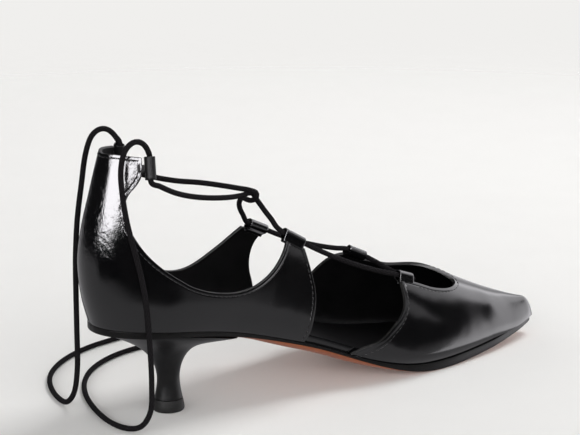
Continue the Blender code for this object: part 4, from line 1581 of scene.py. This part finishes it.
def far_from_edges(obj):
    """Mark a piece as having no sewn edge of its own."""
    mark_edge_distance(obj, [NO_EDGE_NEAR] * len(obj.data.vertices))


for panel in (quarter, vamp):
    wear(panel, POLISHED, LINING, PAINTED_EDGE)
for (place, side), strap in straps.items():
    wear(strap, COVER if place == "heel" else POLISHED)
    far_from_edges(strap)
wear(outsole, SOLE_INK, TAN_SOLE)
second_finish(outsole, lambda normal: normal.z < TAN_FACING)
wear(insole, LINING, POLISHED)
second_finish(insole, lambda normal: normal.y < INNER_FACING and normal.z < BINDING_FACING)
far_from_edges(insole)
wear(heel, COVER)
wear(top_piece, RUBBER)
for cord in [*(lace for lace, _ in laces), *ties.values(), *tie_knots.values()]:
    wear(cord, BRAID)
for thread in (quarter_thread, vamp_thread):
    wear(thread, THREAD)

# %% [markdown]
# ## Frame
# Each piece is now tied to the imported model: it rides on the one body, and the solids it stands for
# are hidden.

# %% Ride and replace


def dress(obj, slot, *nodes):
    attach(obj, "root")
    if nodes:
        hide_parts(*nodes)


dress(quarter, "upper_leather", "quarter")
dress(vamp, "upper_leather", "vamp")
for (place, side), strap in straps.items():
    dress(strap, "upper_leather", place + "_loop_" + SIDE_NAMES[side])
dress(quarter_thread, "upper_leather")
dress(vamp_thread, "upper_leather")
dress(outsole, "sole_leather", "outsole")
dress(insole, "lining", "insole")
dress(heel, "heel_cover", "heel")
dress(top_piece, "top_piece", "heel_top_piece")
for lace, nodes in laces:
    dress(lace, "cord", *nodes)
for side, name in SIDE_NAMES.items():
    dress(ties[side], "cord", "tie_" + name)
    dress(tie_knots[side], "cord", "tie_knot_" + name)
    path = TIE_PATHS[side]

# %% [markdown]
# ## Studio
# The shoe stands on a pale floor that fades into a pale wall. Black polished leather shows little but
# what it mirrors, so the surroundings are painted as a photographer builds them. Dull surfaces get a
# low ring of light round the shoe, stronger from the camera's side. Mirrored rays meet a dark room with
# a lit floor, a pale wall beyond the shoe, panels past the toe and beside it, a ceiling and a narrow
# strip behind the heel. One softbox above the toe end lays a soft shadow.

# %% Floor
PALE = (0.871, 0.863, 0.847)
FLOOR_REACH = 1.6
FLOOR_FADE = (0.4, 1.1)


def make_floor():
    bpy.ops.object.select_all(action="DESELECT")
    bpy.ops.mesh.primitive_circle_add(vertices=96, radius=FLOOR_REACH, fill_type="NGON")
    floor = bpy.context.object
    floor.name = "studio_floor"
    finish = Finish("pale_floor")
    place = finish.place()
    distance = finish.node("ShaderNodeVectorMath", {"operation": "LENGTH"}, {0: place}, "Value")
    speck = finish.mottle(place, 30.0, 3.0)
    wear(floor, finish.surface({
        "Base Color": finish.shades(speck, (0.3, (0.862, 0.854, 0.838)), (0.7, (0.872, 0.864, 0.848))),
        "Roughness": 0.75 + speck * 0.05,
        "Specular IOR Level": 0.1,
        "Alpha": 1 - finish.band(distance, *FLOOR_FADE),
    }))
    floor.visible_glossy = False


make_floor()
print("floor reach, m:", FLOOR_REACH)

# %% Panels of the mirrored room
DARK_ROOM = 0.012
MIRROR_TINT = {"Red": 1.0, "Green": 0.985, "Blue": 1.02}
# Bearings from the toe's direction and heights, in degrees, each with its soft edge, and a glow.
FAR_WALL = ((22.0, 60.0, 10.0), (-4.0, 38.0, 8.0), 0.95)
SIDE_PANEL = ((-70.0, -38.0, 4.0), (8.5, 40.0, 2.5), 0.7)
HIGH_PANEL = ((-26.0, 22.0, 6.0), (21.0, 50.0, 4.0), 1.0)
CORNER_BEARING = (-16.0, 0.0)
CORNER_GLOW = 0.6
LOW_PANEL_NEAR = (-27.5, -20.5)
LOW_PANEL_FAR = (12.0, 26.0)
LOW_PANEL_SLANT = 0.4
LOW_PANEL_HEIGHT = (-20.0, 19.0, 6.0)
TOE_PANEL = 2.5
CEILING = 2.6
CEILING_HEIGHT = (55.0, 70.0)
HEEL_STRIP = 22.0
STRIP_NEAR = (-3.0, 5.0)
STRIP_FAR = (30.0, 40.0)
STRIP_HEIGHT = (6.0, 34.0, 3.5)
STRIP_LEAN = 4.5
STRIP_LEAN_FROM = 8
FLOOR_GLOW = 0.55
FLOOR_EDGE = -5
FLOOR_DIP = 12
FLOOR_DIP_BEARING = (-170.0, -85.0, 50.0)
FLOOR_SOFT = (-6.0, 2.0)
DEGREES = 180 / math.pi


class Surroundings(Finish):
    """The world's nodes, built as a finish is."""

    def __init__(self, name):
        self.take(bpy.data.worlds.new(name))
        self.shader = self.tree.nodes["Background"]

    def angle(self, side, ahead):
        """Bearing in degrees, from ahead towards side."""
        return self.node("ShaderNodeMath", {"operation": "ARCTAN2"}, {0: side, 1: ahead}) * DEGREES

    def within(self, value, low, high, soft):
        """1 between low and high, fading to 0 over so much outside them."""
        return self.band(value, low - soft, low) * (1 - self.band(value, high, high + soft))

    def panel(self, bearing, height, across, upright, glow):
        """Lit rectangle between two bearings and two heights."""
        return self.within(bearing, *across) * self.within(height, *upright) * glow

    def blend(self, share, first, second):
        settings = {"data_type": "RGBA"}
        return self.node("ShaderNodeMix", settings, {0: share, 6: first, 7: second}, 2)


def mirrored_room(room, past_toe, behind_heel, height):
    """Colour of the dark room with its lit floor and panels, by bearing and height."""
    corner = CORNER_GLOW + (1 - CORNER_GLOW) * room.band(past_toe, *CORNER_BEARING)
    high_panel = corner * room.panel(past_toe, height, *HIGH_PANEL)
    near_side = room.band(past_toe - height, *LOW_PANEL_NEAR)
    far_side = 1 - room.band(past_toe - height * LOW_PANEL_SLANT, *LOW_PANEL_FAR)
    low_panel = near_side * far_side * room.within(height, *LOW_PANEL_HEIGHT)
    walls = room.panel(past_toe, height, *FAR_WALL) + room.panel(past_toe, height, *SIDE_PANEL)
    ceiling = room.band(height, *CEILING_HEIGHT) * CEILING
    lean = (height - STRIP_LEAN_FROM).larger(0.0) * STRIP_LEAN
    strip = room.band(behind_heel, *STRIP_NEAR) * (1 - room.band(behind_heel - lean, *STRIP_FAR))
    strip = strip * room.within(height, *STRIP_HEIGHT) * HEEL_STRIP
    floor_edge = FLOOR_EDGE - FLOOR_DIP * room.within(past_toe, *FLOOR_DIP_BEARING)
    mirror_floor = (1 - room.band(height - floor_edge, *FLOOR_SOFT)) * FLOOR_GLOW
    panels = walls + high_panel.larger(low_panel) * TOE_PANEL + ceiling + strip
    glow = DARK_ROOM + panels + mirror_floor
    tinted = {name: glow * share for name, share in MIRROR_TINT.items()}
    return room.node("ShaderNodeCombineColor", {}, tinted)


print("brightest panel of the mirrored room:", HEEL_STRIP)

# %% Surroundings and lamp
DOME = 0.12
SURROUND = 1.55
FRONT_SHARE = 0.7
CAMERA_HEADING = (0.54, 0.84)
LOW_LIGHT = (5.0, 32.0, 5.0)
LAMP_PLACE = (1.2, 0.15, 2.1)
LAMP_SIZE = (1.1, 1.1)
LAMP_POWER = 27.0


def studio_wall():
    """Pale to the camera, a low ring of light to dull surfaces, a dark room with lit panels to mirrors."""
    room = Surroundings("studio_wall")
    bpy.context.scene.world = room.material
    direction = room.node("ShaderNodeTexCoord", {}, {}, "Generated")
    x, y, z = (room.axis(direction, name) for name in "XYZ")
    height = room.node("ShaderNodeMath", {"operation": "ARCSINE"}, {0: z}) * DEGREES
    mirrored = mirrored_room(room, room.angle(y, x), room.angle(0 - y, 0 - x), height)
    front_side = 1 - FRONT_SHARE * (CAMERA_HEADING[0] * x + CAMERA_HEADING[1] * y)
    dome = DOME + SURROUND * front_side * room.within(height, *LOW_LIGHT)
    dull = room.node("ShaderNodeCombineColor", {}, {"Red": dome, "Green": dome, "Blue": dome})
    seen = room.node("ShaderNodeLightPath", {}, {}, "Is Camera Ray")
    mirror = room.node("ShaderNodeLightPath", {}, {}, "Is Glossy Ray")
    light = room.blend(mirror, dull, mirrored)
    room.surface({"Color": room.blend(seen, light, (*PALE, 1))})


def softbox(name, place, target, size, power):
    """Rectangular lamp at a place, facing a target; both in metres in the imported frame."""
    bpy.ops.object.select_all(action="DESELECT")
    bpy.ops.object.light_add(type="AREA")
    lamp = bpy.context.object
    lamp.name = name
    lamp.data.shape = "RECTANGLE"
    lamp.data.size, lamp.data.size_y = size
    lamp.data.energy = power
    lamp.location = place
    lamp.rotation_euler = (Vector(target) - Vector(place)).to_track_quat("-Z", "Y").to_euler()
    lamp.visible_glossy = False


studio_wall()
softbox("top_softbox", LAMP_PLACE, (0.0, 0.0, 0.0), LAMP_SIZE, LAMP_POWER)
bpy.context.scene.view_settings.view_transform = "Standard"
